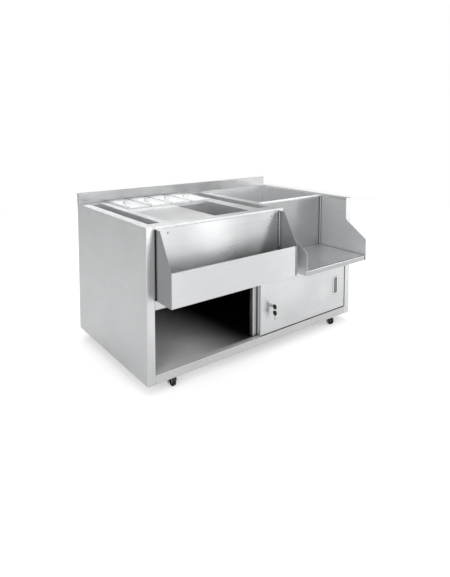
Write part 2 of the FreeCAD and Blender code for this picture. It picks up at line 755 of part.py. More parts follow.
basket_radius = s.drain_radius - s.drain_wall - s.running_gap
basket_rim = s.drain_radius + s.basket_rim
basket_inside = basket_radius - s.tub_gauge
knob_top = s.tub_gauge + s.basket_knob
strainer_x, strainer_y = middle_of(sink)
sink_strainer = new_body("sink_strainer", strainer_x, strainer_y,
                         sink_floor + s.drain_wall + s.running_gap)
turn(sink_strainer, (zero, -s.basket_depth), (basket_radius, -s.basket_depth), (basket_radius, zero),
     (basket_rim, zero), (basket_rim, s.tub_gauge), (basket_inside, s.tub_gauge),
     (basket_inside, s.tub_gauge - s.basket_depth), (s.basket_knob_radius, s.tub_gauge - s.basket_depth),
     (s.basket_knob_radius, knob_top), (zero, knob_top))
hole_ring = basket_radius - s.basket_hole_inset
HOLES = 8
cut(sink_strainer, "XY", -s.basket_depth, s.tub_gauge,
    *[(hole_ring * math.cos(2 * math.pi * number / HOLES), hole_ring * math.sin(2 * math.pi * number / HOLES),
       s.basket_hole) for number in range(HOLES)])

# ---- sliding cover of the ice bin on two ledges ----

cover_top = s.worktop_height - s.cover_drop
cover_under = cover_top - s.gauge
ledge_top = cover_under - s.running_gap
ice_cover_runners = new_body("ice_cover_runners", several=True)
pad(ice_cover_runners, "YZ", bin_left + s.tub_corner, bin_length - 2 * s.tub_corner,
    folded((s.bin_front, ledge_top - s.runner_height), [("+y", s.runner_height), ("+x", s.runner_width)],
           "right"),
    folded((bin_rear, ledge_top - s.runner_height), [("+y", s.runner_height), ("-x", s.runner_width)],
           "left"))

cover_left = bin_left + s.running_gap
end_inset = s.runner_width + s.gauge
ice_cover = new_body("ice_cover")
pad(ice_cover, "XY", cover_under, s.gauge,
    rectangle(cover_left, s.bin_front + s.running_gap, s.cover_length, bin_width - 2 * s.running_gap,
              s.tub_corner))
for edge_left in (cover_left, cover_left + s.cover_length - s.gauge):
    pad(ice_cover, "XY", cover_under - s.cover_edge, s.cover_edge,
        rectangle(edge_left, s.bin_front + end_inset, s.gauge, bin_width - 2 * end_inset))

# ---- garnish pans, hung by their rims on the worktop, and their lids ----

rim_rest = s.running_gap
wall_inset = s.pan_rim + s.pan_wall_gap
pan_body = (wall_inset, wall_inset, s.pan_width - 2 * wall_inset, s.pan_length - 2 * wall_inset)
for number in range(4):
    pan = new_body(f"pan_{number + 1}", pan_left + number * (s.pan_width + s.pan_gap), pan_front,
                   sheet_top + rim_rest)
    pad(pan, "XY", zero, s.pan_gauge, rectangle(zero, zero, s.pan_width, s.pan_length, s.pan_corner))
    wall = new_sketch(pan, "XY", zero)
    draw(wall, [rectangle(*pan_body, s.pan_corner)])
    bowl = pan.newObject("PartDesign::Pad", f"{pan.Name}_bowl")
    bowl.Profile = wall
    bind(bowl, "Length", s.pan_depth)
    bind(bowl, "TaperAngle", -s.pan_draft)
    bowl.Reversed = True
    pan.Tip = bowl
    doc.recompute()
    hollow = new_sketch(pan, "XY", s.pan_gauge)
    inner = tuple(size + s.pan_gauge for size in pan_body[:2]) \
        + tuple(size - 2 * s.pan_gauge for size in pan_body[2:])
    draw(hollow, [rectangle(*inner, s.pan_corner - s.pan_gauge)])
    inside = pan.newObject("PartDesign::Pocket", f"{pan.Name}_hollow")
    inside.Profile = hollow
    bind(inside, "Length", s.pan_depth)
    bind(inside, "TaperAngle", -s.pan_draft)
    pan.Tip = inside
    doc.recompute()

for number in range(4):
    lid = new_body(f"pan_lid_{number + 1}", pan_left + number * (s.pan_width + s.pan_gap), pan_front,
                   sheet_top + rim_rest + s.pan_gauge + s.running_gap)
    lid_outline = (s.lid_inset, s.lid_inset, s.pan_width - 2 * s.lid_inset, s.pan_length - 2 * s.lid_inset)
    pad(lid, "XY", zero, s.pan_gauge, rectangle(*lid_outline, s.pan_corner))
    pad(lid, "XY", zero, s.lid_rise + s.pan_gauge, grown(*lid_outline, -s.lid_margin, s.pan_corner))
    cut(lid, "XY", zero, s.lid_rise, grown(*lid_outline, -s.lid_margin - s.pan_gauge,
                                           s.pan_corner - s.pan_gauge))
    strap_front = s.pan_length / 2 - s.lid_handle_length / 2
    pad(lid, "YZ", s.pan_width / 2 - s.lid_handle_width / 2, s.lid_handle_width,
        folded((strap_front - s.lid_strap_foot, s.lid_rise + s.pan_gauge + s.gauge),
               [("+x", s.lid_strap_foot), ("+y", s.lid_handle_height), ("+x", s.lid_handle_length),
                ("-y", s.lid_handle_height), ("+x", s.lid_strap_foot)], "right"))

# ---- speed rail: a trough with a tall back, and two end plates ----

rail_left = s.post_width + s.rail_end_gap
rail_right = step_x - s.rail_step_gap
rail_bottom = header_top - s.rail_drop
rail_back_top = lip_foot - s.rail_top_gap
rail_front_top = rail_bottom + s.rail_front_height
speed_rail_trough = new_body("speed_rail_trough")
pad(speed_rail_trough, "YZ", rail_left + s.gauge, rail_right - rail_left - 2 * s.gauge,
    folded((zero, rail_back_top),
           [("-y", rail_back_top - rail_bottom), ("-x", s.rail_depth), ("+y", s.rail_front_height),
            ("+x", s.rail_hem), ("-y", s.rail_hem)], "right"))
rail_end_section = [(zero, rail_bottom), (zero, rail_back_top), (-s.rail_top_flat, rail_back_top),
                    (-s.rail_depth, rail_front_top), (-s.rail_depth, rail_bottom)]
for name, left in (("speed_rail_end_left", rail_left), ("speed_rail_end_right", rail_right - s.gauge)):
    pad(new_body(name), "YZ", left, s.gauge, rail_end_section)

# ---- shelf in the recess: floor, lip and back in one sheet, with two end cheeks ----

shelf_left = step_x + s.shelf_offset
shelf_top = header_top + s.shelf_rise
shelf_back = s.recess_depth - s.gauge
shelf_tray = new_body("shelf_tray")
pad(shelf_tray, "YZ", shelf_left + s.gauge, right_post - shelf_left - 2 * s.gauge,
    folded((-s.shelf_reach, shelf_top - s.shelf_lip),
           [("+y", s.shelf_lip), ("+x", s.shelf_reach + shelf_back), ("+y", lip_foot - shelf_top)],
           "right"))
pad(shelf_tray, "YZ", step_x + s.gauge, s.shelf_offset,
    rectangle(shelf_back, shelf_top, s.gauge, lip_foot - shelf_top))


def cheek_section(top):
    foot = shelf_top - s.shelf_lip
    level = header_top + s.cheek_gap
    return [(-s.shelf_reach, foot), (zero, foot), (zero, level), (shelf_back, level), (shelf_back, top),
            (zero, top), (zero, shelf_top + s.cheek_rise), (-s.shelf_reach, shelf_top + s.cheek_front)]


left_cheek = cheek_section(shelf_top + s.cheek_rise)
left_cheek.pop(6)
pad(new_body("shelf_end_left"), "YZ", shelf_left, s.gauge, left_cheek)
pad(new_body("shelf_end_right"), "YZ", right_post - s.gauge, s.gauge, cheek_section(lip_foot))

# ---- screws that hang the rail and the shelf ----

screws = new_body("mounting_screws", several=True)
screw_level = lip_foot - s.screw_drop
pad(screws, "XZ", zero - s.gauge - s.screw_head, s.screw_head,
    (rail_left + s.screw_inset, screw_level, s.screw_radius),
    (rail_right - s.screw_inset, screw_level, s.screw_radius))
pad(screws, "XZ", shelf_back - s.screw_head, s.screw_head,
    (shelf_left + s.screw_inset, screw_level, s.screw_radius),
    (right_post - s.screw_inset, screw_level, s.screw_radius))

# ---- door tracks: two slotted channels under the header's deck ----

front_door_y = s.door_front_gap
rear_door_y = front_door_y + s.door_pitch
track_top = header_top - s.gauge
track_bottom = track_top - s.track_height
door_lines = (front_door_y + s.door_thickness / 2, rear_door_y + s.door_thickness / 2)
track_lip = (s.track_width - s.track_slot) / 2


def track_section(middle):
    return folded((middle - s.track_slot / 2, track_bottom),
                  [("-x", track_lip), ("+y", s.track_height), ("+x", s.track_width),
                   ("-y", s.track_height), ("-x", track_lip)], "right", s.track_gauge)


door_tracks = new_body("door_tracks", several=True)
pad(door_tracks, "YZ", s.post_width + s.gauge, opening_length - 2 * s.gauge,
    *[track_section(middle) for middle in door_lines])

# ---- floor guide: two nylon fins that run in the slots under the doors ----

guide_x = s.unit_length / 2 - s.guide_length / 2
door_floor_guide = new_body("door_floor_guide")
guide_front = door_lines[0] - s.guide_fin
pad(door_floor_guide, "XY", floor_top, s.guide_base,
    rectangle(guide_x, guide_front, s.guide_length, s.door_pitch + 2 * s.guide_fin))
for middle in door_lines:
    pad(door_floor_guide, "XY", floor_top, s.door_floor_gap + s.guide_rise,
        rectangle(guide_x, middle - s.guide_fin / 2, s.guide_length, s.guide_fin))

# ---- sliding doors ----

door_length = (opening_length - 2 * s.door_end_gap + s.door_overlap) / 2
door_bottom = floor_top + s.door_floor_gap
door_height = header_bottom + s.door_lap - door_bottom
door_middle = door_bottom + door_height / 2
front_door_x = right_post - s.door_end_gap - door_length
rear_door_x = front_door_x - s.rear_door_shift
glide_bottom = track_bottom + s.track_gauge + s.running_gap


def door_panels(prefix, left, face, pull_x, lock_x=None):
    """Skin with folded edges and a lining sheet behind it, open below for the floor guide."""
    skin = new_body(f"{prefix}_skin")
    pad(skin, "XZ", face, s.door_thickness,
        rectangle(left, door_bottom, door_length, door_height, s.bend_radius))
    cut(skin, "XZ", face + s.door_gauge, s.door_thickness,
        grown(left, door_bottom, door_length, door_height, -s.door_gauge, s.bend_radius))
    holes = [rectangle(pull_x - s.pull_width / 2 + s.pull_rim, door_middle - s.pull_height / 2 + s.pull_rim,
                       s.pull_width - 2 * s.pull_rim, s.pull_height - 2 * s.pull_rim,
                       s.pull_corner - s.pull_rim)]
    if lock_x:
        holes.append((lock_x, door_middle, s.lock_radius))
    cut(skin, "XZ", face, s.door_gauge, *holes)
    cut(skin, "XY", door_bottom, s.door_gauge,
        rectangle(left + 2 * s.door_gauge, face + (s.door_thickness - s.door_slot) / 2,
                  door_length - 4 * s.door_gauge, s.door_slot))
    liner = new_body(f"{prefix}_liner")
    pad(liner, "XZ", face + s.door_thickness - s.lining_fold, s.lining_fold,
        grown(left, door_bottom, door_length, door_height, -s.door_gauge, s.bend_radius))
    cut(liner, "XZ", face + s.door_thickness - s.lining_fold, s.lining_fold - s.door_gauge,
        grown(left, door_bottom, door_length, door_height, -2 * s.door_gauge, s.bend_radius))
    if lock_x:
        cut(liner, "XZ", face + s.door_thickness - s.door_gauge, s.door_gauge,
            (lock_x, door_middle, s.lock_radius))


def flush_pull(prefix, x, face):
    """Pressed cup with a rim that lies on the skin."""
    body = new_body(f"{prefix}_pull")
    outline = (x - s.pull_width / 2, door_middle - s.pull_height / 2, s.pull_width, s.pull_height)
    pad(body, "XZ", face - s.door_gauge, s.door_gauge, rectangle(*outline, s.pull_corner))
    pad(body, "XZ", face - s.door_gauge, s.pull_recess + s.door_gauge,
        grown(*outline, -s.pull_rim, s.pull_corner - s.pull_rim))
    cut(body, "XZ", face - s.door_gauge, s.pull_recess,
        grown(*outline, -s.pull_rim - s.door_gauge, s.pull_corner - s.pull_rim - s.door_gauge))


def hangers(prefix, left, middle):
    """Two hangers: a foot on the door, a stem through the track's slot and a nylon glide."""
    body = new_body(f"{prefix}_hangers", several=True)
    door_top = door_bottom + door_height
    for centre in (left + s.hanger_inset, left + door_length - s.hanger_inset):
        start = centre - s.glide_length / 2
        glide_half = s.track_width / 2 - s.track_gauge - s.bend_radius
        foot_half = s.door_thickness / 2 - s.door_gauge
        pad(body, "YZ", start, s.glide_length, [
            (middle - foot_half, door_top), (middle + foot_half, door_top),
            (middle + foot_half, door_top + s.hanger_foot),
            (middle + s.hanger_gauge / 2, door_top + s.hanger_foot),
            (middle + s.hanger_gauge / 2, glide_bottom), (middle + glide_half, glide_bottom),
            (middle + glide_half, glide_bottom + s.glide_height),
            (middle - glide_half, glide_bottom + s.glide_height), (middle - glide_half, glide_bottom),
            (middle - s.hanger_gauge / 2, glide_bottom),
            (middle - s.hanger_gauge / 2, door_top + s.hanger_foot),
            (middle - foot_half, door_top + s.hanger_foot)])


front_pull_x = front_door_x + door_length - s.pull_inset
rear_pull_x = rear_door_x + s.pull_inset
lock_x = front_door_x + s.lock_inset
for prefix, left, face, middle, pull_x, lock in (
        ("front_door", front_door_x, front_door_y, door_lines[0], front_pull_x, lock_x),
        ("rear_door", rear_door_x, rear_door_y, door_lines[1], rear_pull_x, None)):
    door_panels(prefix, left, face, pull_x, lock)
    flush_pull(prefix, pull_x, face)
    hangers(prefix, left, middle)

# ---- cam lock of the front door: barrel, turning plug with cam, key, ring and spare key ----
# The lock's bodies are turned about their own Z axis, which points out of the door's front.

out_of_door = FreeCAD.Rotation(FreeCAD.Vector(1, 0, 0), 90)
barrel_length = s.door_thickness - s.door_gauge
lock_barrel = new_body("lock_barrel", lock_x, front_door_y, door_middle)
lock_barrel.Placement.Rotation = out_of_door
plug_bore = s.plug_radius + s.running_fit
turn(lock_barrel, (plug_bore, -barrel_length), (s.lock_radius, -barrel_length), (s.lock_radius, zero),
     (s.lock_head_radius, zero), (s.lock_head_radius, s.lock_head), (plug_bore, s.lock_head))

cam_start = -s.door_thickness - s.cam_gap - s.cam_gauge
lock_plug = new_body("lock_plug", lock_x, front_door_y, door_middle)
lock_plug.Placement.Rotation = out_of_door
pad(lock_plug, "XY", cam_start, s.lock_head + s.plug_proud - cam_start,
    (zero, zero, s.plug_radius - s.plug_proud))
pad(lock_plug, "XY", -barrel_length, barrel_length + s.lock_head + s.plug_proud, (zero, zero, s.plug_radius))
half_cam = s.cam_width / 2
hook_top = s.cam_width - s.cam_length
pad(lock_plug, "XY", cam_start, s.cam_gauge,
    [(-half_cam, zero), (-half_cam, hook_top), (-s.cam_hook, hook_top), (-s.cam_hook, -s.cam_length),
     (half_cam, -s.cam_length), (half_cam, zero)])

# ---- keys ----

plug_face = front_door_y - s.lock_head - s.plug_proud
key_hole_y = plug_face - s.key_reach
lock_key = new_body("lock_key", lock_x, key_hole_y, door_middle)
half_blade = s.key_blade_width / 2
blade_start = s.key_bow - s.key_gauge
pad(lock_key, "YZ", -s.key_gauge / 2, s.key_gauge, (zero, zero, s.key_bow))
pad(lock_key, "YZ", -s.key_gauge / 2, s.key_gauge,
    [(blade_start, -half_blade), (s.key_reach, -half_blade), (s.key_reach, half_blade),
     (blade_start, half_blade)])
cut(lock_key, "YZ", -s.key_gauge / 2, s.key_gauge, (zero, zero, s.key_hole))

ring_top = door_middle - s.key_hole + s.ring_wire + s.running_gap
ring_centre = ring_top - s.ring_radius
key_ring = new_body("key_ring", lock_x, key_hole_y, ring_centre)
ring_sketch = new_sketch(key_ring, "XY", zero)
ring_flat = s.ring_wire * math.tan(math.pi / 8)
draw(ring_sketch, [[(s.ring_radius + out, up) for out, up in (
    (s.ring_wire, -ring_flat), (s.ring_wire, ring_flat), (ring_flat, s.ring_wire), (-ring_flat, s.ring_wire),
    (-s.ring_wire, ring_flat), (-s.ring_wire, -ring_flat), (-ring_flat, -s.ring_wire),
    (ring_flat, -s.ring_wire))]])
ring_sweep = key_ring.newObject("PartDesign::Revolution", "key_ring_turning")
ring_sweep.Profile = ring_sketch
ring_sweep.ReferenceAxis = (ring_sketch, ["V_Axis"])
ring_sweep.Angle = 360
key_ring.Tip = ring_sweep

spare_hole = ring_centre - s.ring_radius + s.ring_wire - s.key_hole
spare_key = new_body("spare_key", lock_x, key_hole_y, spare_hole)
pad(spare_key, "YZ", -s.key_gauge / 2, s.key_gauge, (zero, -s.spare_drop, s.key_bow))
pad(spare_key, "YZ", -s.key_gauge / 2, s.key_gauge,
    rectangle(-half_blade, -s.key_blade - s.key_bow - s.spare_drop, s.key_blade_width,
              s.key_blade + s.spare_drop))
cut(spare_key, "YZ", -s.key_gauge / 2, s.key_gauge, (zero, zero, s.key_hole))

# ---- keeper on the rear door that the turned cam hooks behind ----

keeper_x = rear_door_x + door_length - s.keeper_inset
keeper = new_body("lock_keeper")
keeper_low = door_middle + s.plug_radius + s.cam_gap
keeper_front = rear_door_y - s.keeper_reach
keeper_end = keeper_x + s.keeper_foot
pad(keeper, "XY", keeper_low, s.keeper_height,
    [(keeper_x, keeper_front), (keeper_x + s.gauge, keeper_front),
     (keeper_x + s.gauge, rear_door_y - s.gauge, s.bend_radius), (keeper_end, rear_door_y - s.gauge),
     (keeper_end, rear_door_y), (keeper_x, rear_door_y)])

# ---- casters ----

fork_top = 2 * s.wheel_radius + s.wheel_fork_gap + s.fork_gauge
race_bottom = fork_top + s.running_gap
plate_bottom = plate_top - s.plate_gauge
caster_places = [(f"{side}_{end}", column, row)
                 for end, row in (("front", s.caster_axis), ("rear", s.unit_depth - s.caster_axis))
                 for side, column in zip(("left", "right"), caster_columns)]
caster_plates = new_body("caster_plates", several=True)
for _, column, row in caster_places:
    pad(caster_plates, "XY", plate_bottom, s.plate_gauge,
        rectangle(column - s.plate_size / 2, row - s.plate_size / 2, s.plate_size, s.plate_size,
                  s.plate_corner))
    pad(caster_plates, "XY", race_bottom, plate_bottom - race_bottom, (column, row, s.race_radius))
    pad(caster_plates, "XY", fork_top - s.fork_gauge - s.running_gap, race_bottom - fork_top + s.fork_gauge
        + s.running_gap, (column, row, s.pin_radius))
    pad(caster_plates, "XY", fork_top - s.fork_gauge - s.running_gap - s.pin_head, s.pin_head,
        (column, row, s.pin_radius + s.pin_head_step))

inner_half = s.wheel_width / 2 + s.fork_gap
outer_half = inner_half + s.fork_gauge
for place_name, column, row in caster_places:
    fork = new_body(f"caster_fork_{place_name}", column, row)
    top_under = fork_top - s.fork_gauge
    pad(fork, "YZ", -outer_half, 2 * outer_half, [
        (-s.caster_trail - s.fork_leg, s.wheel_radius - s.fork_leg),
        (-s.caster_trail + s.fork_leg, s.wheel_radius - s.fork_leg),
        (s.fork_head_radius, fork_top - s.fork_cheek), (s.fork_head_radius, fork_top),
        (-s.fork_head_radius, fork_top), (-s.caster_trail - s.fork_leg, s.wheel_radius + s.fork_leg)])
    cut(fork, "YZ", -inner_half, 2 * inner_half, [
        (-s.caster_trail - 3 * s.fork_leg, zero), (s.fork_head_radius + s.fork_gap, zero),
        (s.fork_head_radius + s.fork_gap, top_under), (-s.caster_trail - 3 * s.fork_leg, top_under)])
    pad(fork, "XY", top_under, s.fork_gauge, (zero, zero, s.fork_head_radius))
    cut(fork, "XY", top_under, s.fork_gauge, (zero, zero, s.pin_radius + s.running_fit))
    pad(fork, "YZ", -outer_half - s.axle_head, 2 * outer_half + 2 * s.axle_head,
        (-s.caster_trail, s.wheel_radius, s.axle_radius))

for place_name, column, row in caster_places:
    wheel = new_body(f"caster_wheel_{place_name}", column, row - s.caster_trail, s.wheel_radius)
    wheel.Placement.Rotation = FreeCAD.Rotation(FreeCAD.Vector(0, 1, 0), 90)
    half = s.wheel_width / 2
    hub_half = half + s.fork_gap - s.running_gap
    bore = s.axle_radius + s.running_fit
    hub = s.axle_radius + s.hub_wall
    web_half = half - s.web_recess
    flat_half = half - s.tread_chamfer
    shoulder = s.wheel_radius - s.tread_chamfer
    turn(wheel, (bore, -hub_half), (hub, -hub_half), (hub, -web_half), (s.web_radius, -web_half),
         (s.web_radius, -half), (shoulder, -half), (s.wheel_radius, -flat_half), (s.wheel_radius, flat_half),
         (shoulder, half), (s.web_radius, half), (s.web_radius, web_half), (hub, web_half), (hub, hub_half),
         (bore, hub_half))

# ---- check and export ----

doc.recompute()
for thing in doc.Objects:
    if "Invalid" in thing.State or "Error" in thing.State:
        raise RuntimeError(f"{thing.Label} did not build: {thing.State}")
os.makedirs("parts", exist_ok=True)
for body in subparts:
    if body.Shape.isNull() or not body.Shape.isValid():
        raise RuntimeError(f"{body.Label} has no valid shape")
    body.Shape.exportStep(f"parts/{body.Label}.step")
    box = body.Shape.BoundBox
    print(body.Label, len(body.Shape.Solids), round(body.Shape.Volume / 1000, 2),
          [round(value, 1) for value in (box.XMin, box.YMin, box.ZMin, box.XMax, box.YMax, box.ZMax)])
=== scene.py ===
import bpy
import bmesh
import math
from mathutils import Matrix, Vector


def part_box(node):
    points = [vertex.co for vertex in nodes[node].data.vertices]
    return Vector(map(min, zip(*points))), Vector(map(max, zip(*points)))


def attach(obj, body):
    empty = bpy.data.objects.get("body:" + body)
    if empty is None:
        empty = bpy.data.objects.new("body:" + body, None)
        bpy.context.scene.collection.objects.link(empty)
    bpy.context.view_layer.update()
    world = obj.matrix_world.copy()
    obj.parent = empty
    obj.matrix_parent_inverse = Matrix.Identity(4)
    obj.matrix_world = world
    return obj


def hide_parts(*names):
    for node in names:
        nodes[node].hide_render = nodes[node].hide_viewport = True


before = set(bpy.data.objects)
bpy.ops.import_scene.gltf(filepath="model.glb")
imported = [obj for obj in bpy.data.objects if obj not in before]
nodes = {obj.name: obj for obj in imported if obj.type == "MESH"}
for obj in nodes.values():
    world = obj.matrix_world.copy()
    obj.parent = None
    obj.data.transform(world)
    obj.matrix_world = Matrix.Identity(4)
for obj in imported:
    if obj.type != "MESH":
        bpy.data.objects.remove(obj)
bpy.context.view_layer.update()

# Camera: stands left of the unit and in front of it, a little above its upstand, as in the photograph.
# The upright edges come out nearly upright because the lens is shifted down more than it is tilted.
PHOTO_HEIGHT = 577
FOCAL_PIXELS = 475.49
SENSOR_MM = 36.0
camera_data = bpy.data.cameras.new("photo_camera")
camera_data.sensor_width = SENSOR_MM
camera_data.lens = FOCAL_PIXELS / PHOTO_HEIGHT * SENSOR_MM
camera_data.shift_y = -0.2227
camera = bpy.data.objects.new("photo_camera", camera_data)
camera.location = (-1.6678, -2.1295, 1.2101)
camera.rotation_euler = (math.radians(90 - 4.287), 0, math.radians(-37.792))
bpy.context.scene.collection.objects.link(camera)
bpy.context.scene.camera = camera
bpy.context.scene.view_settings.view_transform = "Standard"


# Studio: white paper under the unit and white all round it. A wide soft box stands in front at the
# right, a narrow one beside it draws the upright highlight on the rail, and the others fill the front,
# the left side and the top; the rear one, above the picture, makes the level sheets bright.
def linear(colour):
    """The linear colour of an sRGB hex value."""
    parts = [int(colour[i:i + 2], 16) / 255 for i in (1, 3, 5)]
    return [p / 12.92 if p <= 0.04045 else ((p + 0.055) / 1.055) ** 2.4 for p in parts] + [1.0]


def add_node(tree, kind, links=(), sockets=(), **settings):
    """Adds a node, sets its properties and inputs, and links outputs of other nodes to its inputs.
    Sockets are (index, value) pairs for inputs that share a name."""
    node = tree.nodes.new(kind)
    for index, value in sockets:
        node.inputs[index].default_value = value
    for name, value in settings.items():
        if hasattr(node, name):
            setattr(node, name, value)
        else:
            node.inputs[name.replace("_", " ")].default_value = value
    for source, output, target in links:
        tree.links.new(source.outputs[output], node.inputs[target])
    return node


def soft_box(name, place, aim, width, height, watts):
    """A rectangular lamp that faces a point."""
    lamp = bpy.data.lights.new(name, "AREA")
    lamp.shape = "RECTANGLE"
    lamp.size, lamp.size_y = width, height
    lamp.energy = watts
    box = bpy.data.objects.new(name, lamp)
    box.location = place
    box.rotation_euler = (Vector(aim) - Vector(place)).to_track_quat("-Z", "Y").to_euler()
    bpy.context.scene.collection.objects.link(box)


soft_box("front_soft_box", (4.2, -3.7, 1.75), (0.2, -0.2, 0.3), 1.3, 2.0, 48)
soft_box("strip_soft_box", (2.3, -4.1, 1.4), (-0.3, -0.3, 0.5), 0.4, 3.0, 13)
soft_box("fill_soft_box", (0.9, -4.4, 0.9), (-0.3, -0.3, 0.3), 1.1, 2.2, 30)
soft_box("left_soft_box", (-3.3, -2.3, 1.5), (-0.1, 0, 0.4), 1.3, 2.2, 26)
soft_box("overhead_soft_box", (-0.5, -1.0, 3.6), (0, 0, 0.4), 3.0, 2.4, 22)
soft_box("rear_soft_box", (1.1, 3.1, 3.4), (-0.1, 0, 0.7), 3.2, 1.5, 46)

white_surround = bpy.data.worlds.new("white_surround")
white_surround.use_nodes = True
tree = white_surround.node_tree
tree.nodes.clear()
rays = add_node(tree, "ShaderNodeLightPath")
room_light = add_node(tree, "ShaderNodeBackground", Color=linear("#F6F6F6"), Strength=0.55)
white_paper = add_node(tree, "ShaderNodeBackground", Color=linear("#FFFFFF"), Strength=1.0)
seen = add_node(tree, "ShaderNodeMixShader",
                [(rays, "Is Camera Ray", 0), (room_light, 0, 1), (white_paper, 0, 2)])
add_node(tree, "ShaderNodeOutputWorld", [(seen, 0, 0)])
bpy.context.scene.world = white_surround

bpy.ops.object.select_all(action="DESELECT")
bpy.ops.mesh.primitive_grid_add(x_subdivisions=2, y_subdivisions=2, size=10)
floor = bpy.context.active_object
floor.name = "paper_floor"
paper = bpy.data.materials.new("matt_white_paper")
paper.use_nodes = True
tree = paper.node_tree
tree.nodes.clear()
rays = add_node(tree, "ShaderNodeLightPath")
matt = add_node(tree, "ShaderNodeBsdfDiffuse", Color=linear("#F6F6F6"))
glow = add_node(tree, "ShaderNodeEmission", Color=linear("#FFFFFF"), Strength=0.44)
lit = add_node(tree, "ShaderNodeAddShader", [(matt, 0, 0), (glow, 0, 1)])
seen = add_node(tree, "ShaderNodeMixShader", [(rays, "Is Camera Ray", 0), (matt, 0, 1), (lit, 0, 2)])
add_node(tree, "ShaderNodeOutputMaterial", [(seen, 0, 0)])
floor.data.materials.append(paper)


# Side panels: 1.5 mm sheets of stainless steel, satin brushed, folded on a press brake. The grain runs
# level from front to back, and the folds are painted brighter: a painted highlight along each fold.
ACROSS_THE_GRAIN = 0.25
STREAK_RATIO = 60
FOLD_RADIUS = 0.003
FOLD_HIGHLIGHT_GAIN = 1.7


def brushed_steel(name, colour, grain, roughness, spread=0.6, sheet=0, streak_mm=5.0, cloud_mm=160.0,
                  shade=0.07, metallic=1.0):
    """Stainless steel brushed along one axis. Real brush lines are 0.1 mm apart; they are drawn
    streak_mm wide, because finer ones don't show, and 60 times as long. Sheet moves the pattern."""
    finish = bpy.data.materials.new(name)
    finish.use_nodes = True
    tree = finish.node_tree
    tree.nodes.clear()
    across, along = 1000 / streak_mm, 1000 / (streak_mm * STREAK_RATIO)
    place = add_node(tree, "ShaderNodeTexCoord")
    moved = add_node(tree, "ShaderNodeMapping", [(place, "Object", "Vector")],
                     Location=(sheet * 0.37, sheet * 0.53, sheet * 0.71))
    stretched = add_node(tree, "ShaderNodeMapping", [(moved, 0, "Vector")],
                         Scale=[along if axis == grain else across for axis in "XYZ"])
    streaks = add_node(tree, "ShaderNodeTexNoise", [(stretched, 0, "Vector")], Scale=1.0, Detail=4.0,
                       Roughness=0.6)
    clouds = add_node(tree, "ShaderNodeTexNoise", [(moved, 0, "Vector")], Scale=1000 / cloud_mm,
                      Detail=2.0)
    mixed = add_node(tree, "ShaderNodeMix", [(streaks, 0, 2), (clouds, 0, 3)], Factor=0.5)
    base = linear(colour)[:3]
    tone = add_node(tree, "ShaderNodeValToRGB", [(mixed, 0, 0)])
    dull, bright = tone.color_ramp.elements
    dull.position, bright.position = 0.34, 0.66
    dull.color = [c * (1 - shade) for c in base] + [1]
    bright.color = [min(1, c * (1 + shade * 0.6)) for c in base] + [1]
    # Where the bevel turns the normal, at folds and edges, the colour is lifted: a painted highlight.
    rounded = add_node(tree, "ShaderNodeBevel", Radius=FOLD_RADIUS, samples=4)
    flat = add_node(tree, "ShaderNodeNewGeometry")
    turned = add_node(tree, "ShaderNodeVectorMath", [(rounded, 0, 0), (flat, "Normal", 1)],
                      operation="DOT_PRODUCT")
    fold = add_node(tree, "ShaderNodeMapRange", [(turned, "Value", 0)],
                    sockets=[(1, 0.995), (2, 0.85), (3, 0.0), (4, 0.95)])
    fold_highlight = add_node(tree, "ShaderNodeMix", [(fold, 0, 0), (tone, 0, 6)], data_type="RGBA",
                      sockets=[(7, [min(1, c * FOLD_HIGHLIGHT_GAIN) for c in base] + [1])])
    polish = add_node(tree, "ShaderNodeMapRange", [(mixed, 0, 0)],
                      sockets=[(1, 0.3), (2, 0.7), (3, roughness - 0.05), (4, roughness + 0.07)])
    scratches = add_node(tree, "ShaderNodeBump", [(streaks, 0, "Height"), (rounded, 0, "Normal")],
                         Strength=0.06, Distance=0.0004)
    run = add_node(tree, "ShaderNodeCombineXYZ", X=1.0 if grain == "X" else 0.03,
                   Y=1.0 if grain == "Y" else 0.04, Z=1.0 if grain == "Z" else 0.02)
    steel = add_node(tree, "ShaderNodeBsdfPrincipled",
                     [(fold_highlight, 2, "Base Color"), (polish, 0, "Roughness"), (scratches, 0, "Normal"),
                      (run, 0, "Tangent")],
                     Metallic=metallic, Anisotropic=spread, Anisotropic_Rotation=ACROSS_THE_GRAIN)
    add_node(tree, "ShaderNodeOutputMaterial", [(steel, 0, 0)])
    return finish


def shader_of(finish):
    """The finish's main shader node."""
    return next(node for node in finish.node_tree.nodes if node.type == "BSDF_PRINCIPLED")


def beyond(tree, axis, level, side="GREATER_THAN"):
    """A mask that is 1 on one side of a level along an axis, in metres."""
    place = add_node(tree, "ShaderNodeTexCoord")
    split = add_node(tree, "ShaderNodeSeparateXYZ", [(place, "Object", 0)])
    return add_node(tree, "ShaderNodeMath", [(split, axis, 0)], operation=side, sockets=[(1, level)])


def paint_light_and_shade_beyond(finish, axis, level, factor):
    """Multiplies the finish's colour by a factor above a level along an axis: painted light where the
    factor is over 1, painted shade where it is under. The factors are fitted to the greys of the
    photograph."""
    tree = finish.node_tree
    base_colour = shader_of(finish).inputs["Base Color"]
    toned = add_node(tree, "ShaderNodeMix", [(beyond(tree, axis, level), 0, 0)], data_type="RGBA",
                     blend_type="MULTIPLY", sockets=[(7, (factor, factor, factor, 1))])
    tree.links.new(base_colour.links[0].from_socket, toned.inputs[6])
    tree.links.new(toned.outputs[2], base_colour)
    return finish


def wear(finish, *names):
    """Gives every material slot of these CAD nodes one finish."""
    for name in names:
        for slot in nodes[name].material_slots:
            slot.material = finish


wear(brushed_steel("satin_stainless_side_panels", "#E6E7E8", "Y", 0.36, sheet=1),
     "left_side_panel", "right_side_panel")
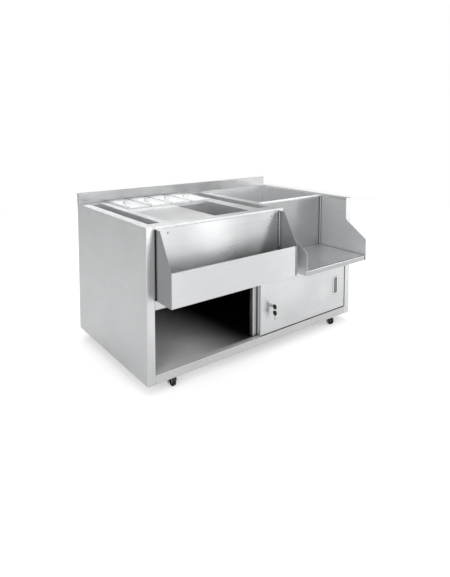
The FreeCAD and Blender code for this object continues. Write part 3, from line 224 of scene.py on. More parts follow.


# Back panel: the same sheet, plain outside. Its inside face is painted near-black with a fine bumpy
# speckle, painted shade that makes the cupboard nearly black.
INNER_FACE_Y = 0.4708
SPECKLES_PER_METRE = 350.0
back_steel_with_painted_shade = brushed_steel("satin_stainless_back_panel", "#DEDFE0", "X", 0.36, sheet=2)
tree = back_steel_with_painted_shade.node_tree
bare = shader_of(back_steel_with_painted_shade)
inside = beyond(tree, "Y", INNER_FACE_Y, "LESS_THAN")
place = add_node(tree, "ShaderNodeTexCoord")
shade_speckle = add_node(tree, "ShaderNodeTexNoise", [(place, "Object", 0)], Scale=SPECKLES_PER_METRE,
                   Detail=3.0)
speckle_bumps = add_node(tree, "ShaderNodeBump", [(shade_speckle, 0, "Height")], Strength=0.5, Distance=0.0006)
# Near-black for the inside face: painted shade.
painted_shade_tone = add_node(tree, "ShaderNodeValToRGB", [(shade_speckle, 0, 0)])
painted_shade_tone.color_ramp.elements[0].color = linear("#040405")
painted_shade_tone.color_ramp.elements[1].color = linear("#0C0C0D")
painted_shade_inside = add_node(tree, "ShaderNodeBsdfPrincipled", [(painted_shade_tone, 0, "Base Color"), (speckle_bumps, 0, "Normal")],
                Roughness=0.9, Specular_IOR_Level=0.15)
output = next(node for node in tree.nodes if node.type == "OUTPUT_MATERIAL")
both = add_node(tree, "ShaderNodeMixShader", [(inside, 0, 0), (bare, 0, 1), (painted_shade_inside, 0, 2)])
tree.links.new(both.outputs[0], output.inputs[0])
wear(back_steel_with_painted_shade, "back_panel")


# Cabinet floor with plinth, header and apron: the floor is a dull mill-finished sheet, folded down in
# front into the plinth. Behind the plinth's face it is painted brighter, painted light, and it fades to
# black towards the right and the back, painted shade. Header and apron are brushed along their length.
PAINTED_SHADE_X = (-0.46, -0.06)
PAINTED_SHADE_Y = (-0.322, -0.285)
PLINTH_FACE_Y = -0.32
floor_steel = brushed_steel("dull_mill_stainless_floor", "#CCCCCC", "X", 0.5, spread=0.3, sheet=3,
                            shade=0.06, metallic=0.25)
# Behind the plinth's face the floor is painted 1.6 times brighter: painted light.
paint_light_and_shade_beyond(floor_steel, "Y", PLINTH_FACE_Y, 1.6)
tree = floor_steel.node_tree
place = add_node(tree, "ShaderNodeTexCoord")
split = add_node(tree, "ShaderNodeSeparateXYZ", [(place, "Object", 0)])
# Towards the right and the back the floor is painted black: painted shade.
ramps = []
for axis, (start, end) in (("X", PAINTED_SHADE_X), ("Y", PAINTED_SHADE_Y)):
    ramps.append(add_node(tree, "ShaderNodeMapRange", [(split, axis, 0)],
                          interpolation_type="SMOOTHSTEP", sockets=[(1, start), (2, end)]))
painted_shade_mask = add_node(tree, "ShaderNodeMath", [(ramps[0], 0, 0), (ramps[1], 0, 1)], operation="MULTIPLY")
base_colour = shader_of(floor_steel).inputs["Base Color"]
painted_shade_mix = add_node(tree, "ShaderNodeMix", [(painted_shade_mask, 0, 0), (base_colour.links[0].from_node, 2, 6)],
                    data_type="RGBA", sockets=[(7, linear("#060607"))])
tree.links.new(painted_shade_mix.outputs[2], base_colour)
wear(floor_steel, "cabinet_floor")
wear(brushed_steel("satin_stainless_header", "#DADBDC", "X", 0.34, sheet=4), "front_header")
wear(brushed_steel("satin_stainless_apron", "#EEEFF0", "X", 0.34, sheet=5), "front_apron")


# Worktop: one stepped sheet, brushed along its length, with a folded front lip and a boxed upstand. The
# upstand's face is painted darker, painted shade; its back is not.
UPSTAND_FACE_Y = 0.45
UPSTAND_BACK_Y = 0.4722
top_steel = brushed_steel("satin_stainless_worktop", "#DFE0E1", "X", 0.3, sheet=6)
top_steel = paint_light_and_shade_beyond(paint_light_and_shade_beyond(top_steel, "Y", UPSTAND_FACE_Y, 0.6), "Y", UPSTAND_BACK_Y, 1.6)
wear(top_steel, "worktop")


# Tubs: ice bin, bottle wells and sink are welded boxes of the same steel, painted a little brighter than
# the sheets round them as painted light inside the deep boxes; the grain runs upright on their walls.
tub_steel = brushed_steel("polished_satin_tub_steel", "#EFF0F1", "Z", 0.42, spread=0.35, sheet=7,
                          shade=0.05, metallic=0.85)
wear(tub_steel, "ice_bin_liner", "left_bottle_well", "right_bottle_well", "sink_bowl")
wear(brushed_steel("satin_stainless_bin_jacket", "#D1D2D3", "X", 0.4, sheet=8), "ice_bin_jacket")


# Ice bin cover and its ledges: the cover is a flat sheet with turned-down ends, brushed from front to
# back; the ledges that it slides on are brushed along their length.
wear(brushed_steel("satin_stainless_cover", "#D6D7D8", "Y", 0.3, sheet=9), "ice_cover")
wear(brushed_steel("satin_stainless_ledges", "#DADBDC", "X", 0.32, sheet=10), "ice_cover_runners")


# Speed rail: trough with a tall back, brushed along its length and finer on the back, so that the strip
# lamp draws an upright highlight across it. A narrow band beside the weld at its right end is painted
# darker, as painted shade in the corner. The end plates are brushed from front to back, their dark grey
# painted shade.
RAIL_FRONT_Y = -0.455
FRONT_ROUGHER = 0.2
CORNER_SHADE_BAND = 0.014
rail_steel = brushed_steel("satin_stainless_rail", "#DEDFE0", "X", 0.3, spread=0.92, sheet=11)
tree = rail_steel.node_tree
front = beyond(tree, "Y", RAIL_FRONT_Y, "LESS_THAN")
rougher = add_node(tree, "ShaderNodeMath", [(front, 0, 0)], operation="MULTIPLY",
                   sockets=[(1, FRONT_ROUGHER)])
roughness = shader_of(rail_steel).inputs["Roughness"]
summed = add_node(tree, "ShaderNodeMath", [(rougher, 0, 0), (roughness.links[0].from_node, 0, 1)],
                  operation="ADD")
tree.links.new(summed.outputs[0], roughness)
wear(paint_light_and_shade_beyond(rail_steel, "X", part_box("speed_rail_trough")[1][0] - CORNER_SHADE_BAND, 0.4),
     "speed_rail_trough")
# The end plates' dark grey colour is painted shade.
wear(brushed_steel("satin_stainless_rail_ends", "#A9AAAB", "Y", 0.34, sheet=12),
     "speed_rail_end_left", "speed_rail_end_right")


# Shade strips: dark rubber strips fill the gaps between the rail and the cabinet as painted shade for
# the dark lines there, a black one pressed in beside the rail's left end plate and a thin grey one under
# the lip of the worktop.
SHEET = 0.0015
POST_EDGE_X = -0.66
SHADE_STRIP_PROUD = 0.0012
SHADE_STRIP_HEIGHT = 0.0018
SHADE_STRIP_ROUND = 0.0005
SHADE_STRIP_GAP = 0.0002
SHADE_STRIP_BITE = 0.0001
SHADE_STRIP_TOP_GAP = 0.001
DUST_PER_METRE = 60.0


def choose(piece, kind, test):
    """Selects the vertices, edges or faces of the piece in edit mode that pass the test."""
    bpy.ops.mesh.select_mode(type=kind)
    bpy.ops.mesh.select_all(action="DESELECT")
    mesh = bmesh.from_edit_mesh(piece.data)
    parts = {"VERT": mesh.verts, "EDGE": mesh.edges, "FACE": mesh.faces}[kind]
    for part in parts:
        if test(part):
            part.select = True
    mesh.select_flush(True)
    bmesh.update_edit_mesh(piece.data)


def begin(name):
    """Names the new primitive, puts its place into its mesh and opens it for editing."""
    piece = bpy.context.active_object
    piece.name = name
    piece.data.name = name
    bpy.ops.object.transform_apply(location=True, rotation=True, scale=True)
    bpy.ops.object.mode_set(mode="EDIT")
    return piece


def finish_piece(piece, finish, angle=40, **modifiers):
    """Leaves edit mode, applies the modifiers in order, smooths the shading and gives the finish."""
    if piece.mode == "EDIT":
        bpy.ops.object.mode_set(mode="OBJECT")
    for kind, settings in modifiers.items():
        modifier = piece.modifiers.new(kind, kind.upper())
        for key, value in settings.items():
            setattr(modifier, key, value)
        bpy.ops.object.modifier_apply(modifier=modifier.name)
    bpy.ops.object.shade_smooth_by_angle(angle=math.radians(angle))
    even = piece.modifiers.new("even", "WEIGHTED_NORMAL")
    even.keep_sharp = True
    bpy.ops.object.modifier_apply(modifier="even")
    piece.data.materials.clear()
    piece.data.materials.append(finish)
    return piece


def centre(face):
    """The middle of a face."""
    return face.calc_center_median()


def copy_of(piece, name, offset):
    """A copy with its own mesh, moved by an offset in its mesh."""
    twin = piece.copy()
    twin.data = piece.data.copy()
    twin.name = twin.data.name = name
    for vertex in twin.data.vertices:
        vertex.co += Vector(offset)
    bpy.context.scene.collection.objects.link(twin)
    return twin


def bar(name, low, high):
    """A box between two corners, open for editing."""
    bpy.ops.object.select_all(action="DESELECT")
    bpy.ops.mesh.primitive_cube_add(size=1, location=(Vector(low) + Vector(high)) / 2)
    bpy.context.active_object.scale = [b - a for a, b in zip(low, high)]
    return begin(name)


def moulded_black(name, colour, roughness, pimple_mm=0.6):
    """Black plastic or rubber with a fine spark-eroded surface, slightly worn to grey."""
    finish = bpy.data.materials.new(name)
    finish.use_nodes = True
    tree = finish.node_tree
    tree.nodes.clear()
    place = add_node(tree, "ShaderNodeTexCoord")
    grain = add_node(tree, "ShaderNodeTexNoise", [(place, "Object", "Vector")], Scale=1000 / pimple_mm,
                     Detail=2.0)
    dust = add_node(tree, "ShaderNodeTexNoise", [(place, "Object", "Vector")], Scale=DUST_PER_METRE,
                    Detail=3.0)
    tone = add_node(tree, "ShaderNodeValToRGB", [(dust, 0, 0)])
    base = linear(colour)[:3]
    tone.color_ramp.elements[0].position, tone.color_ramp.elements[1].position = 0.4, 0.75
    tone.color_ramp.elements[0].color = base + [1]
    tone.color_ramp.elements[1].color = [min(1, c * 2 + 0.006) for c in base] + [1]
    pits = add_node(tree, "ShaderNodeBump", [(grain, 0, "Height")], Strength=0.25, Distance=0.0002)
    polish = add_node(tree, "ShaderNodeMapRange", [(dust, 0, 0)],
                      sockets=[(1, 0.3), (2, 0.7), (3, roughness - 0.06), (4, roughness + 0.1)])
    plastic = add_node(tree, "ShaderNodeBsdfPrincipled",
                       [(tone, 0, "Base Color"), (polish, 0, "Roughness"), (pits, 0, "Normal")],
                       Metallic=0.0)
    add_node(tree, "ShaderNodeOutputMaterial", [(plastic, 0, 0)])
    return finish


# The black and grey rubbers of the gap strips are painted shade.
shade_strip_rubber = moulded_black("black_seal_rubber", "#0A0A0B", 0.6)
lip_shade_rubber = moulded_black("grey_lip_rubber", "#A2A3A5", 0.6)
low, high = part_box("speed_rail_trough")
rail_face = high[1] - SHEET
left_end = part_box("speed_rail_end_left")[0][0]
right_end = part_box("speed_rail_end_right")[1][0]
for name, near, far in (
        ("rail_side_seal", (POST_EDGE_X + SHADE_STRIP_GAP, rail_face - SHADE_STRIP_PROUD / 2, low[2]),
         (left_end - SHADE_STRIP_GAP, high[1] - SHADE_STRIP_BITE, high[2] - SHADE_STRIP_TOP_GAP)),
        ("rail_top_seal", (left_end, rail_face - SHADE_STRIP_PROUD, high[2] - SHADE_STRIP_HEIGHT / 2),
         (right_end, rail_face - SHADE_STRIP_BITE, high[2] + SHADE_STRIP_HEIGHT / 2))):
    shade_strip = bar(name, near, far)
    choose(shade_strip, "EDGE", lambda e: all(v.co.y < near[1] + SHADE_STRIP_BITE for v in e.verts))
    bpy.ops.mesh.bevel(offset=SHADE_STRIP_ROUND, segments=3, affect="EDGES")
    finish_piece(shade_strip, shade_strip_rubber if name == "rail_side_seal" else lip_shade_rubber)
    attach(shade_strip, "cabinet")


# Shelf: tray with a folded lip and an upright back, between two cheeks. The tray is painted brighter
# than its lip, painted light, and the back darker, painted shade; the bands beside the weld are painted
# darker, painted shade in the corner.
SHELF_BACK_Y = -0.13
SHELF_LIP_Y = -0.46
shelf_steel = brushed_steel("satin_stainless_shelf", "#C4C5C6", "X", 0.3, spread=0.7, sheet=13)
shelf_steel = paint_light_and_shade_beyond(paint_light_and_shade_beyond(shelf_steel, "Y", SHELF_LIP_Y, 1.6), "Y", SHELF_BACK_Y, 0.42)
wear(paint_light_and_shade_beyond(shelf_steel, "X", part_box("shelf_tray")[1][0] - CORNER_SHADE_BAND, 0.45), "shelf_tray")
cheek_steel = brushed_steel("satin_stainless_cheeks", "#F6F7F8", "Y", 0.42, sheet=14, metallic=0.75)
wear(paint_light_and_shade_beyond(cheek_steel, "Y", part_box("shelf_tray")[1][1] - CORNER_SHADE_BAND, 0.5),
     "shelf_end_left", "shelf_end_right")


# Weld beads: the inner right corners of rail and shelf are closed by TIG beads, ground and left a little
# rippled. They catch the light as thin bright lines.
BEAD_RADIUS = 0.0026
BEAD_SUNK = BEAD_RADIUS * 0.4
RIPPLE = 0.0025
RIPPLE_SWELL = 1.25
TROUGH_TOP = 0.56
SHELF_DECK = 0.447
BEAD_TOP_GAP = 0.004


def plated_steel(name, colour, roughness, grain_mm=1.5, shade=0.12):
    """Zinc, nickel or chrome plate and other even steel: one grey with small cloudy patches."""
    finish = bpy.data.materials.new(name)
    finish.use_nodes = True
    tree = finish.node_tree
    tree.nodes.clear()
    place = add_node(tree, "ShaderNodeTexCoord")
    patches = add_node(tree, "ShaderNodeTexNoise", [(place, "Object", "Vector")],
                       Scale=1000 / (grain_mm * 6), Detail=4.0)
    tone = add_node(tree, "ShaderNodeValToRGB", [(patches, 0, 0)])
    base = linear(colour)[:3]
    tone.color_ramp.elements[0].position, tone.color_ramp.elements[1].position = 0.35, 0.65
    tone.color_ramp.elements[0].color = [c * (1 - shade) for c in base] + [1]
    tone.color_ramp.elements[1].color = [min(1, c * (1 + shade)) for c in base] + [1]
    polish = add_node(tree, "ShaderNodeMapRange", [(patches, 0, 0)],
                      sockets=[(1, 0.3), (2, 0.7), (3, roughness - 0.06), (4, roughness + 0.08)])
    plate = add_node(tree, "ShaderNodeBsdfPrincipled",
                     [(tone, 0, "Base Color"), (polish, 0, "Roughness")], Metallic=1.0)
    add_node(tree, "ShaderNodeOutputMaterial", [(plate, 0, 0)])
    return finish


def extrude(*step):
    """Extrudes the chosen faces by a step."""
    bpy.ops.mesh.extrude_region_move(TRANSFORM_OT_translate={"value": step})


def resize(factors, middle):
    """Scales the chosen parts about a point."""
    bpy.ops.transform.resize(value=factors, center_override=middle)


bead_steel = plated_steel("ground_weld_steel", "#FFFFFF", 0.5)
for name, (right, back, top), bottom in (
        ("rail_end_bead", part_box("speed_rail_trough")[1], TROUGH_TOP),
        ("shelf_cheek_bead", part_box("shelf_tray")[1], SHELF_DECK)):
    place = (right - BEAD_SUNK, back - SHEET - BEAD_SUNK)
    bpy.ops.object.select_all(action="DESELECT")
    bpy.ops.mesh.primitive_cylinder_add(vertices=12, radius=BEAD_RADIUS, depth=RIPPLE,
                                        location=(*place, bottom + RIPPLE / 2))
    bead = begin(name)
    choose(bead, "FACE", lambda f: f.normal.z > 0.9)
    for ring in range(round((top - BEAD_TOP_GAP - bottom) / RIPPLE) - 1):
        extrude(0, 0, RIPPLE)
        size = RIPPLE_SWELL if ring % 2 else 1 / RIPPLE_SWELL
        resize((size, size, 1), (*place, 0))
    finish_piece(bead, bead_steel, angle=60)
    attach(bead, "cabinet")


# Doors: two folded skins, brushed along their length, each with a lining sheet inside. The skins' brush
# lines are a little finer than the cabinet's, the linings are duller.
wear(brushed_steel("satin_stainless_front_door", "#E2E3E4", "X", 0.36, sheet=15, streak_mm=4.0),
     "front_door_skin")
wear(brushed_steel("satin_stainless_rear_door", "#DCDDDE", "X", 0.36, sheet=16, streak_mm=4.0),
     "rear_door_skin")
wear(brushed_steel("satin_stainless_door_linings", "#CECFD0", "X", 0.42, sheet=17),
     "front_door_liner", "rear_door_liner")


# Door strips: a black rubber strip fills the gap under the front door, and another stands on the right
# post beside it; both are painted shade for the dark lines round the door.
DOOR_STRIP_CLEAR = 0.0004
DOOR_STRIP_PROUD = 0.0012
DOOR_STRIP_LAP = 0.003
DOOR_STRIP_INSET = 0.002
DOOR_STRIP_DEPTH = 0.0048
DOOR_STRIP_ROUND = 0.0008
SIDE_STRIP_GAP = 0.0004
SIDE_STRIP_FOOT = 0.004
SIDE_STRIP_HEAD = 0.006
SIDE_STRIP_BACK = 0.003
SIDE_STRIP_ROUND = 0.0012
floor_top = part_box("cabinet_floor")[1][2]
low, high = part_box("front_door_skin")
brush = bar("door_brush_strip",
            (low[0] + DOOR_STRIP_INSET, low[1] - DOOR_STRIP_PROUD, floor_top + DOOR_STRIP_CLEAR),
            (high[0] - DOOR_STRIP_INSET, low[1] + DOOR_STRIP_DEPTH, low[2] + DOOR_STRIP_LAP))
choose(brush, "EDGE", lambda e: all(v.co.z < floor_top + 2 * DOOR_STRIP_CLEAR for v in e.verts))
bpy.ops.mesh.bevel(offset=DOOR_STRIP_ROUND, segments=3, affect="EDGES")
finish_piece(brush, shade_strip_rubber)
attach(brush, "front_door")
side_shade = bar("door_bumper_strip",
             (high[0] + SIDE_STRIP_GAP, low[1] - DOOR_STRIP_PROUD, low[2] + SIDE_STRIP_FOOT),
             (-POST_EDGE_X - SHADE_STRIP_GAP, high[1] - SIDE_STRIP_BACK, high[2] - SIDE_STRIP_HEAD))
choose(side_shade, "EDGE", lambda e: all(v.co.x < high[0] + 2 * SIDE_STRIP_GAP for v in e.verts))
bpy.ops.mesh.bevel(offset=SIDE_STRIP_ROUND, segments=3, affect="EDGES")
finish_piece(side_shade, shade_strip_rubber)
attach(side_shade, "cabinet")


# Garnish pans: deep-drawn bright steel, smoother than the folded sheets, with finer lines that run from
# front to back.
wear(brushed_steel("bright_drawn_pans", "#E4E5E6", "Y", 0.24, spread=0.2, sheet=18, streak_mm=3.0),
     "pan_1", "pan_2", "pan_3", "pan_4")


# Pan lids: one pressed sheet each, with a flat rim, a raised panel and a strap handle welded across a
# shallow finger dish. Bright drawn steel with a fine grain.
LID_SHEET = 0.0008
LID_CORNER = 0.014
PANEL_RISE = 0.004
PANEL_MARGIN = 0.009
PANEL_TAPER = (0.985, 0.994, 1)
PANEL_FLAT = 0.02
PANEL_EDGES = 0.06
DISH = (0.044, 0.07)
DISH_DEPTH = 0.005
DISH_TAPER = (0.6, 0.7, 1)
STRAP = (0.014, 0.046, 0.0016)
STRAP_RISE = 0.0125
STRAP_FOOT = 0.008


def rounded_plate(name, place, size, corner, segments=8, tilt=90):
    """A plate with rounded corners, open for editing with its face chosen. It faces the front, or up
    without the tilt."""
    bpy.ops.object.select_all(action="DESELECT")
    bpy.ops.mesh.primitive_plane_add(size=1, location=place, rotation=(math.radians(tilt), 0, 0))
    bpy.context.active_object.scale = (*size, 1)
    plate = begin(name)
    bpy.ops.mesh.select_all(action="SELECT")
    bpy.ops.mesh.bevel(offset=corner, segments=segments, affect="VERTICES")
    bpy.ops.mesh.select_mode(type="FACE")
    bpy.ops.mesh.select_all(action="SELECT")
    return plate


lid_steel = brushed_steel("bright_drawn_lids", "#F2F3F4", "Y", 0.4, spread=0.3, sheet=19,
                          streak_mm=3.0, shade=0.05)
low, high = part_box("pan_lid_1")
lid_x, lid_y, lid_z = (low[0] + high[0]) / 2, (low[1] + high[1]) / 2, low[2]
lid_middle = (lid_x, lid_y, lid_z)
lid_width, lid_length = high[0] - low[0], high[1] - low[1]
lid_1 = rounded_plate("pressed_lid_1", (lid_x, lid_y, lid_z + LID_SHEET), (lid_width, lid_length),
                      LID_CORNER, segments=6, tilt=0)
bpy.ops.mesh.inset(thickness=PANEL_MARGIN)
extrude(0, 0, PANEL_RISE)
resize(PANEL_TAPER, lid_middle)
bpy.ops.mesh.inset(thickness=PANEL_FLAT)
resize((DISH[0] / (lid_width - PANEL_EDGES), DISH[1] / (lid_length - PANEL_EDGES), 1), lid_middle)
extrude(0, 0, -DISH_DEPTH)
resize(DISH_TAPER, lid_middle)
finish_piece(lid_1, lid_steel, solidify={"thickness": LID_SHEET, "offset": -1.0},
             bevel={"width": 0.0012, "segments": 2, "limit_method": "ANGLE",
                    "angle_limit": math.radians(20)})

strap_z = lid_z + LID_SHEET + PANEL_RISE + STRAP_RISE
strap_steel = brushed_steel("bright_strap_steel", "#E2E3E4", "Y", 0.34, spread=0.3, sheet=20,
                            streak_mm=2.0, shade=0.05)
bpy.ops.object.select_all(action="DESELECT")
bpy.ops.mesh.primitive_cube_add(size=1, location=(lid_x, lid_y, strap_z))
bpy.context.active_object.scale = STRAP
strap_1 = begin("lid_strap_1")
leg_y = STRAP[1] / 2 - STRAP[2]
for side in (-1, 1):
    bpy.ops.mesh.select_all(action="SELECT")
    bpy.ops.mesh.bisect(plane_co=(lid_x, lid_y + side * leg_y, strap_z), plane_no=(0, 1, 0))
for side in (-1, 1):
    choose(strap_1, "FACE", lambda f: f.normal.z < -0.9 and side * (centre(f).y - lid_y) > leg_y)
    extrude(0, 0, -STRAP_RISE + STRAP[2])
    extrude(0, 0, -STRAP[2] / 2)
    choose(strap_1, "FACE", lambda f: side * f.normal.y > 0.9
           and f.calc_area() < 0.6 * STRAP[2] * STRAP[0]
           and centre(f).z < strap_z - STRAP_RISE / 2)
    extrude(0, side * STRAP_FOOT, 0)
finish_piece(strap_1, strap_steel, bevel={"width": 0.0005, "segments": 2, "limit_method": "ANGLE"})

for number in range(1, 5):
    place_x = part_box(f"pan_lid_{number}")[0][0] - low[0]
    lid = lid_1 if number == 1 else copy_of(lid_1, f"pressed_lid_{number}", (place_x, 0, 0))
    strap = strap_1 if number == 1 else copy_of(strap_1, f"lid_strap_{number}", (place_x, 0, 0))
    for piece in (lid, strap):
        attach(piece, f"pan_lid_{number}")
        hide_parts(f"pan_lid_{number}")


# Screws: pan-head screws with a cross recess, zinc plated, that hold the rail and the shelf. Each recess
# is turned a little further, as in screws driven by hand.
SCREW_RADIUS = 0.0045
SCREW_HEAD = 0.0024
SCREW_ROUND = 0.0011
SCREW_INSET = 0.062
SCREW_TURN = 20
RECESS = (0.0052, 0.0026, 0.0011)
SHELF_SCREW_Y = -0.1235


def cut_out(piece, tool):
    """Cuts the tool's shape out of the piece and removes the tool."""
    bpy.context.view_layer.objects.active = piece
    cut = piece.modifiers.new("cut", "BOOLEAN")
    cut.object = tool
    cut.operation = "DIFFERENCE"
    bpy.ops.object.modifier_apply(modifier="cut")
    bpy.data.objects.remove(tool)


zinc = plated_steel("zinc_plate", "#A9AAAD", 0.38)
rail_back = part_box("speed_rail_trough")[1][1] - SHEET
screw_places = [(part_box("speed_rail_end_left")[0][0] + SCREW_INSET, rail_back),
                (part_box("speed_rail_end_right")[1][0] - SCREW_INSET, rail_back),
                (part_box("shelf_end_left")[0][0] + SCREW_INSET, SHELF_SCREW_Y),
                (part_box("shelf_end_right")[1][0] - SCREW_INSET, SHELF_SCREW_Y)]
screw_z = sum(corner[2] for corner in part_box("mounting_screws")) / 2
for number, (screw_x, screw_y) in enumerate(screw_places):
    bpy.ops.object.select_all(action="DESELECT")
    bpy.ops.mesh.primitive_cylinder_add(vertices=32, radius=SCREW_RADIUS, depth=SCREW_HEAD,
                                        location=(screw_x, screw_y - SCREW_HEAD / 2, screw_z),
                                        rotation=(math.radians(90), 0, 0))
    head = begin(f"pan_head_screw_{number + 1}")
    choose(head, "FACE", lambda f: f.normal.y < -0.9)
    bpy.ops.mesh.bevel(offset=SCREW_ROUND, segments=4, affect="EDGES")
    bpy.ops.object.mode_set(mode="OBJECT")
    for turn in (0, 90):
        bpy.ops.object.select_all(action="DESELECT")
        bpy.ops.mesh.primitive_cube_add(
            size=1, location=(screw_x, screw_y - SCREW_HEAD, screw_z),
            rotation=(0, math.radians(turn + SCREW_TURN * number), 0))
        recess = bpy.context.active_object
        recess.scale = RECESS
        bpy.ops.object.transform_apply(location=True, rotation=True, scale=True)
        cut_out(head, recess)
    head.select_set(True)
    finish_piece(head, zinc, angle=30)
    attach(head, "cabinet")
    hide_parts("mounting_screws")


# Flush pulls: a pressed cup with a rolled rim in each door, polished so that the rim shines. The recess
# is painted darker, painted shade, and a thin black ring round the rim is painted shade for its dark
# outline.
PULL_RIM = 0.0058
PULL_SHEET = 0.0012
PULL_CORNER = 0.009
PULL_STEPS = (0.8, 0.2)
PULL_FLOOR = (0.86, 1, 0.95)
PULL_SHADE_RING = 0.0014
RECESS_PAINTED_SHADE = 0.5
for door in ("front", "rear"):
    low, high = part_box(f"{door}_door_pull")
    pull_steel = plated_steel(f"polished_{door}_pull_steel", "#FAFAFA", 0.42, grain_mm=3.0, shade=0.04)
    paint_light_and_shade_beyond(pull_steel, "Y", low[1] + PULL_SHEET, RECESS_PAINTED_SHADE)
    pull_x, pull_z = (low[0] + high[0]) / 2, (low[2] + high[2]) / 2
    width, height = high[0] - low[0], high[2] - low[2]
    pull = rounded_plate(f"{door}_flush_pull", (pull_x, low[1], pull_z), (width, height), PULL_CORNER)
    bpy.ops.mesh.inset(thickness=PULL_RIM + PULL_SHEET)
    depth = high[1] - low[1] - PULL_SHEET
    for share in PULL_STEPS:
        extrude(0, depth * share, 0)
    resize(PULL_FLOOR, (pull_x, low[1], pull_z))
    finish_piece(pull, pull_steel, solidify={"thickness": PULL_SHEET * 0.95, "offset": -1.0},
                 bevel={"width": 0.0009, "segments": 3, "limit_method": "ANGLE",
                        "angle_limit": math.radians(40)})
    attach(pull, f"{door}_door")
    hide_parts(f"{door}_door_pull")
    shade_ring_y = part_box(f"{door}_door_skin")[0][1] - PULL_SHEET / 2
    shade_ring = rounded_plate(f"{door}_pull_gasket", (pull_x, shade_ring_y, pull_z),
                           (width + 2 * PULL_SHADE_RING, height + 2 * PULL_SHADE_RING),
                           PULL_CORNER + PULL_SHADE_RING)
    bpy.ops.mesh.inset(thickness=2 * PULL_SHADE_RING)
    bpy.ops.mesh.delete(type="FACE")
    finish_piece(shade_ring, shade_strip_rubber, solidify={"thickness": PULL_SHEET * 0.4, "offset": -1.0},
                 bevel={"width": 0.0001, "segments": 1, "limit_method": "ANGLE"})
    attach(shade_ring, f"{door}_door")


# Cam lock, keys and ring: chromed barrel and plug; keys with black moulded heads on nickel-plated
# blades; the spare key hangs on a split ring through the hole of the key in the lock.
KEY_HEAD = 0.0132
HOLE_INSET = 0.011
KEY_HOLE = 0.0026
KEY_THICK = 0.0042
BORE_LENGTH = 0.02
HEAD_RIM = 0.0022
HEAD_TAPER = (0.72, 0.94, 0.94)
BLADE = (0.002, 0.0068)
KEY_CUTS = 7
CUT_DEPTH = 0.0017
GROOVE_EDGE = 0.0012
GROOVE_TAPER = (0.55, 1, 1)
SPARE_DROP = 0.006
RING_WIRE = 0.0009


def cylinder_along_x(vertices, radius, length, place):
    """A cylinder, or a prism where it has few sides, along X."""
    bpy.ops.object.select_all(action="DESELECT")
    bpy.ops.mesh.primitive_cylinder_add(vertices=vertices, radius=radius, depth=length,
                                        location=place, rotation=(0, math.radians(90), 0))


def key_head(name, place, hole):
    """A round moulded head with a rim, a recessed middle and a hole for the ring."""
    cylinder_along_x(48, KEY_HEAD, KEY_THICK, place)
    head = begin(name)
    choose(head, "FACE", lambda f: abs(f.normal.x) > 0.9)
    bpy.ops.mesh.inset(thickness=HEAD_RIM)
    extrude(0, 0, 0)
    resize(HEAD_TAPER, place)
    bpy.ops.object.mode_set(mode="OBJECT")
    cylinder_along_x(24, KEY_HOLE, BORE_LENGTH, hole)
    cut_out(head, bpy.context.active_object)
    head.select_set(True)
    return finish_piece(head, key_black,
                        bevel={"width": 0.0005, "segments": 2, "limit_method": "ANGLE"})


def key_blade(name, low, high, axis):
    """A flat blade along an axis with a groove down each side and cuts along one edge."""
    blade = bar(name, low, high)
    step = (high[axis] - low[axis]) / (KEY_CUTS + 2)
    across = 3 - axis
    middle = (Vector(low) + Vector(high)) / 2
    for cut in range(1, KEY_CUTS + 1):
        point = list(middle)
        point[axis] = low[axis] + step * cut
        bpy.ops.mesh.select_all(action="SELECT")
        bpy.ops.mesh.bisect(plane_co=point, plane_no=[1 if way == axis else 0 for way in range(3)])
    for cut in range(1, KEY_CUTS + 1):
        level = low[axis] + step * cut
        choose(blade, "VERT", lambda v: abs(v.co[axis] - level) < step / 4
               and v.co[across] > middle[across])
        shift = [0, 0, 0]
        shift[across] = -CUT_DEPTH * ((cut * 5) % 3) / 2
        bpy.ops.transform.translate(value=shift)
    choose(blade, "FACE", lambda f: abs(f.normal.x) > 0.9)
    bpy.ops.mesh.inset(thickness=GROOVE_EDGE, use_even_offset=True)
    resize(GROOVE_TAPER, middle)
    return finish_piece(blade, nickel, angle=30)


chrome = plated_steel("bright_chrome_plate", "#C6C7CA", 0.14, shade=0.05)
nickel = plated_steel("nickel_plate", "#BDB8AC", 0.26)
key_black = moulded_black("moulded_black_nylon", "#0B0B0C", 0.42)
wear(chrome, "lock_barrel", "lock_plug")
wear(nickel, "lock_keeper")
low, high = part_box("lock_key")
key_x, key_y, key_z = (low[0] + high[0]) / 2, low[1] + HOLE_INSET, (low[2] + high[2]) / 2
front_head = key_head("key_head", (key_x, low[1] + KEY_HEAD, key_z), (key_x, key_y, key_z))
front_blade = key_blade("key_blade",
                        (key_x - BLADE[0] / 2, low[1] + KEY_HEAD * 1.85, key_z - BLADE[1] / 2),
                        (key_x + BLADE[0] / 2, high[1], key_z + BLADE[1] / 2), 1)
for piece in (front_head, front_blade):
    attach(piece, "lock")
    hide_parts("lock_key")

low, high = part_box("spare_key")
hole_z = high[2] - HOLE_INSET + SPARE_DROP
spare_z = hole_z - SPARE_DROP
spare_head = key_head("spare_key_head", (key_x, key_y, spare_z), (key_x, key_y, hole_z))
spare_blade = key_blade("spare_key_blade", (key_x - BLADE[0] / 2, key_y - BLADE[1] / 2, low[2]),
                        (key_x + BLADE[0] / 2, key_y + BLADE[1] / 2, spare_z - KEY_HEAD * 0.8), 2)
for piece in (spare_head, spare_blade):
    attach(piece, "spare_key_ring")
    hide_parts("spare_key")

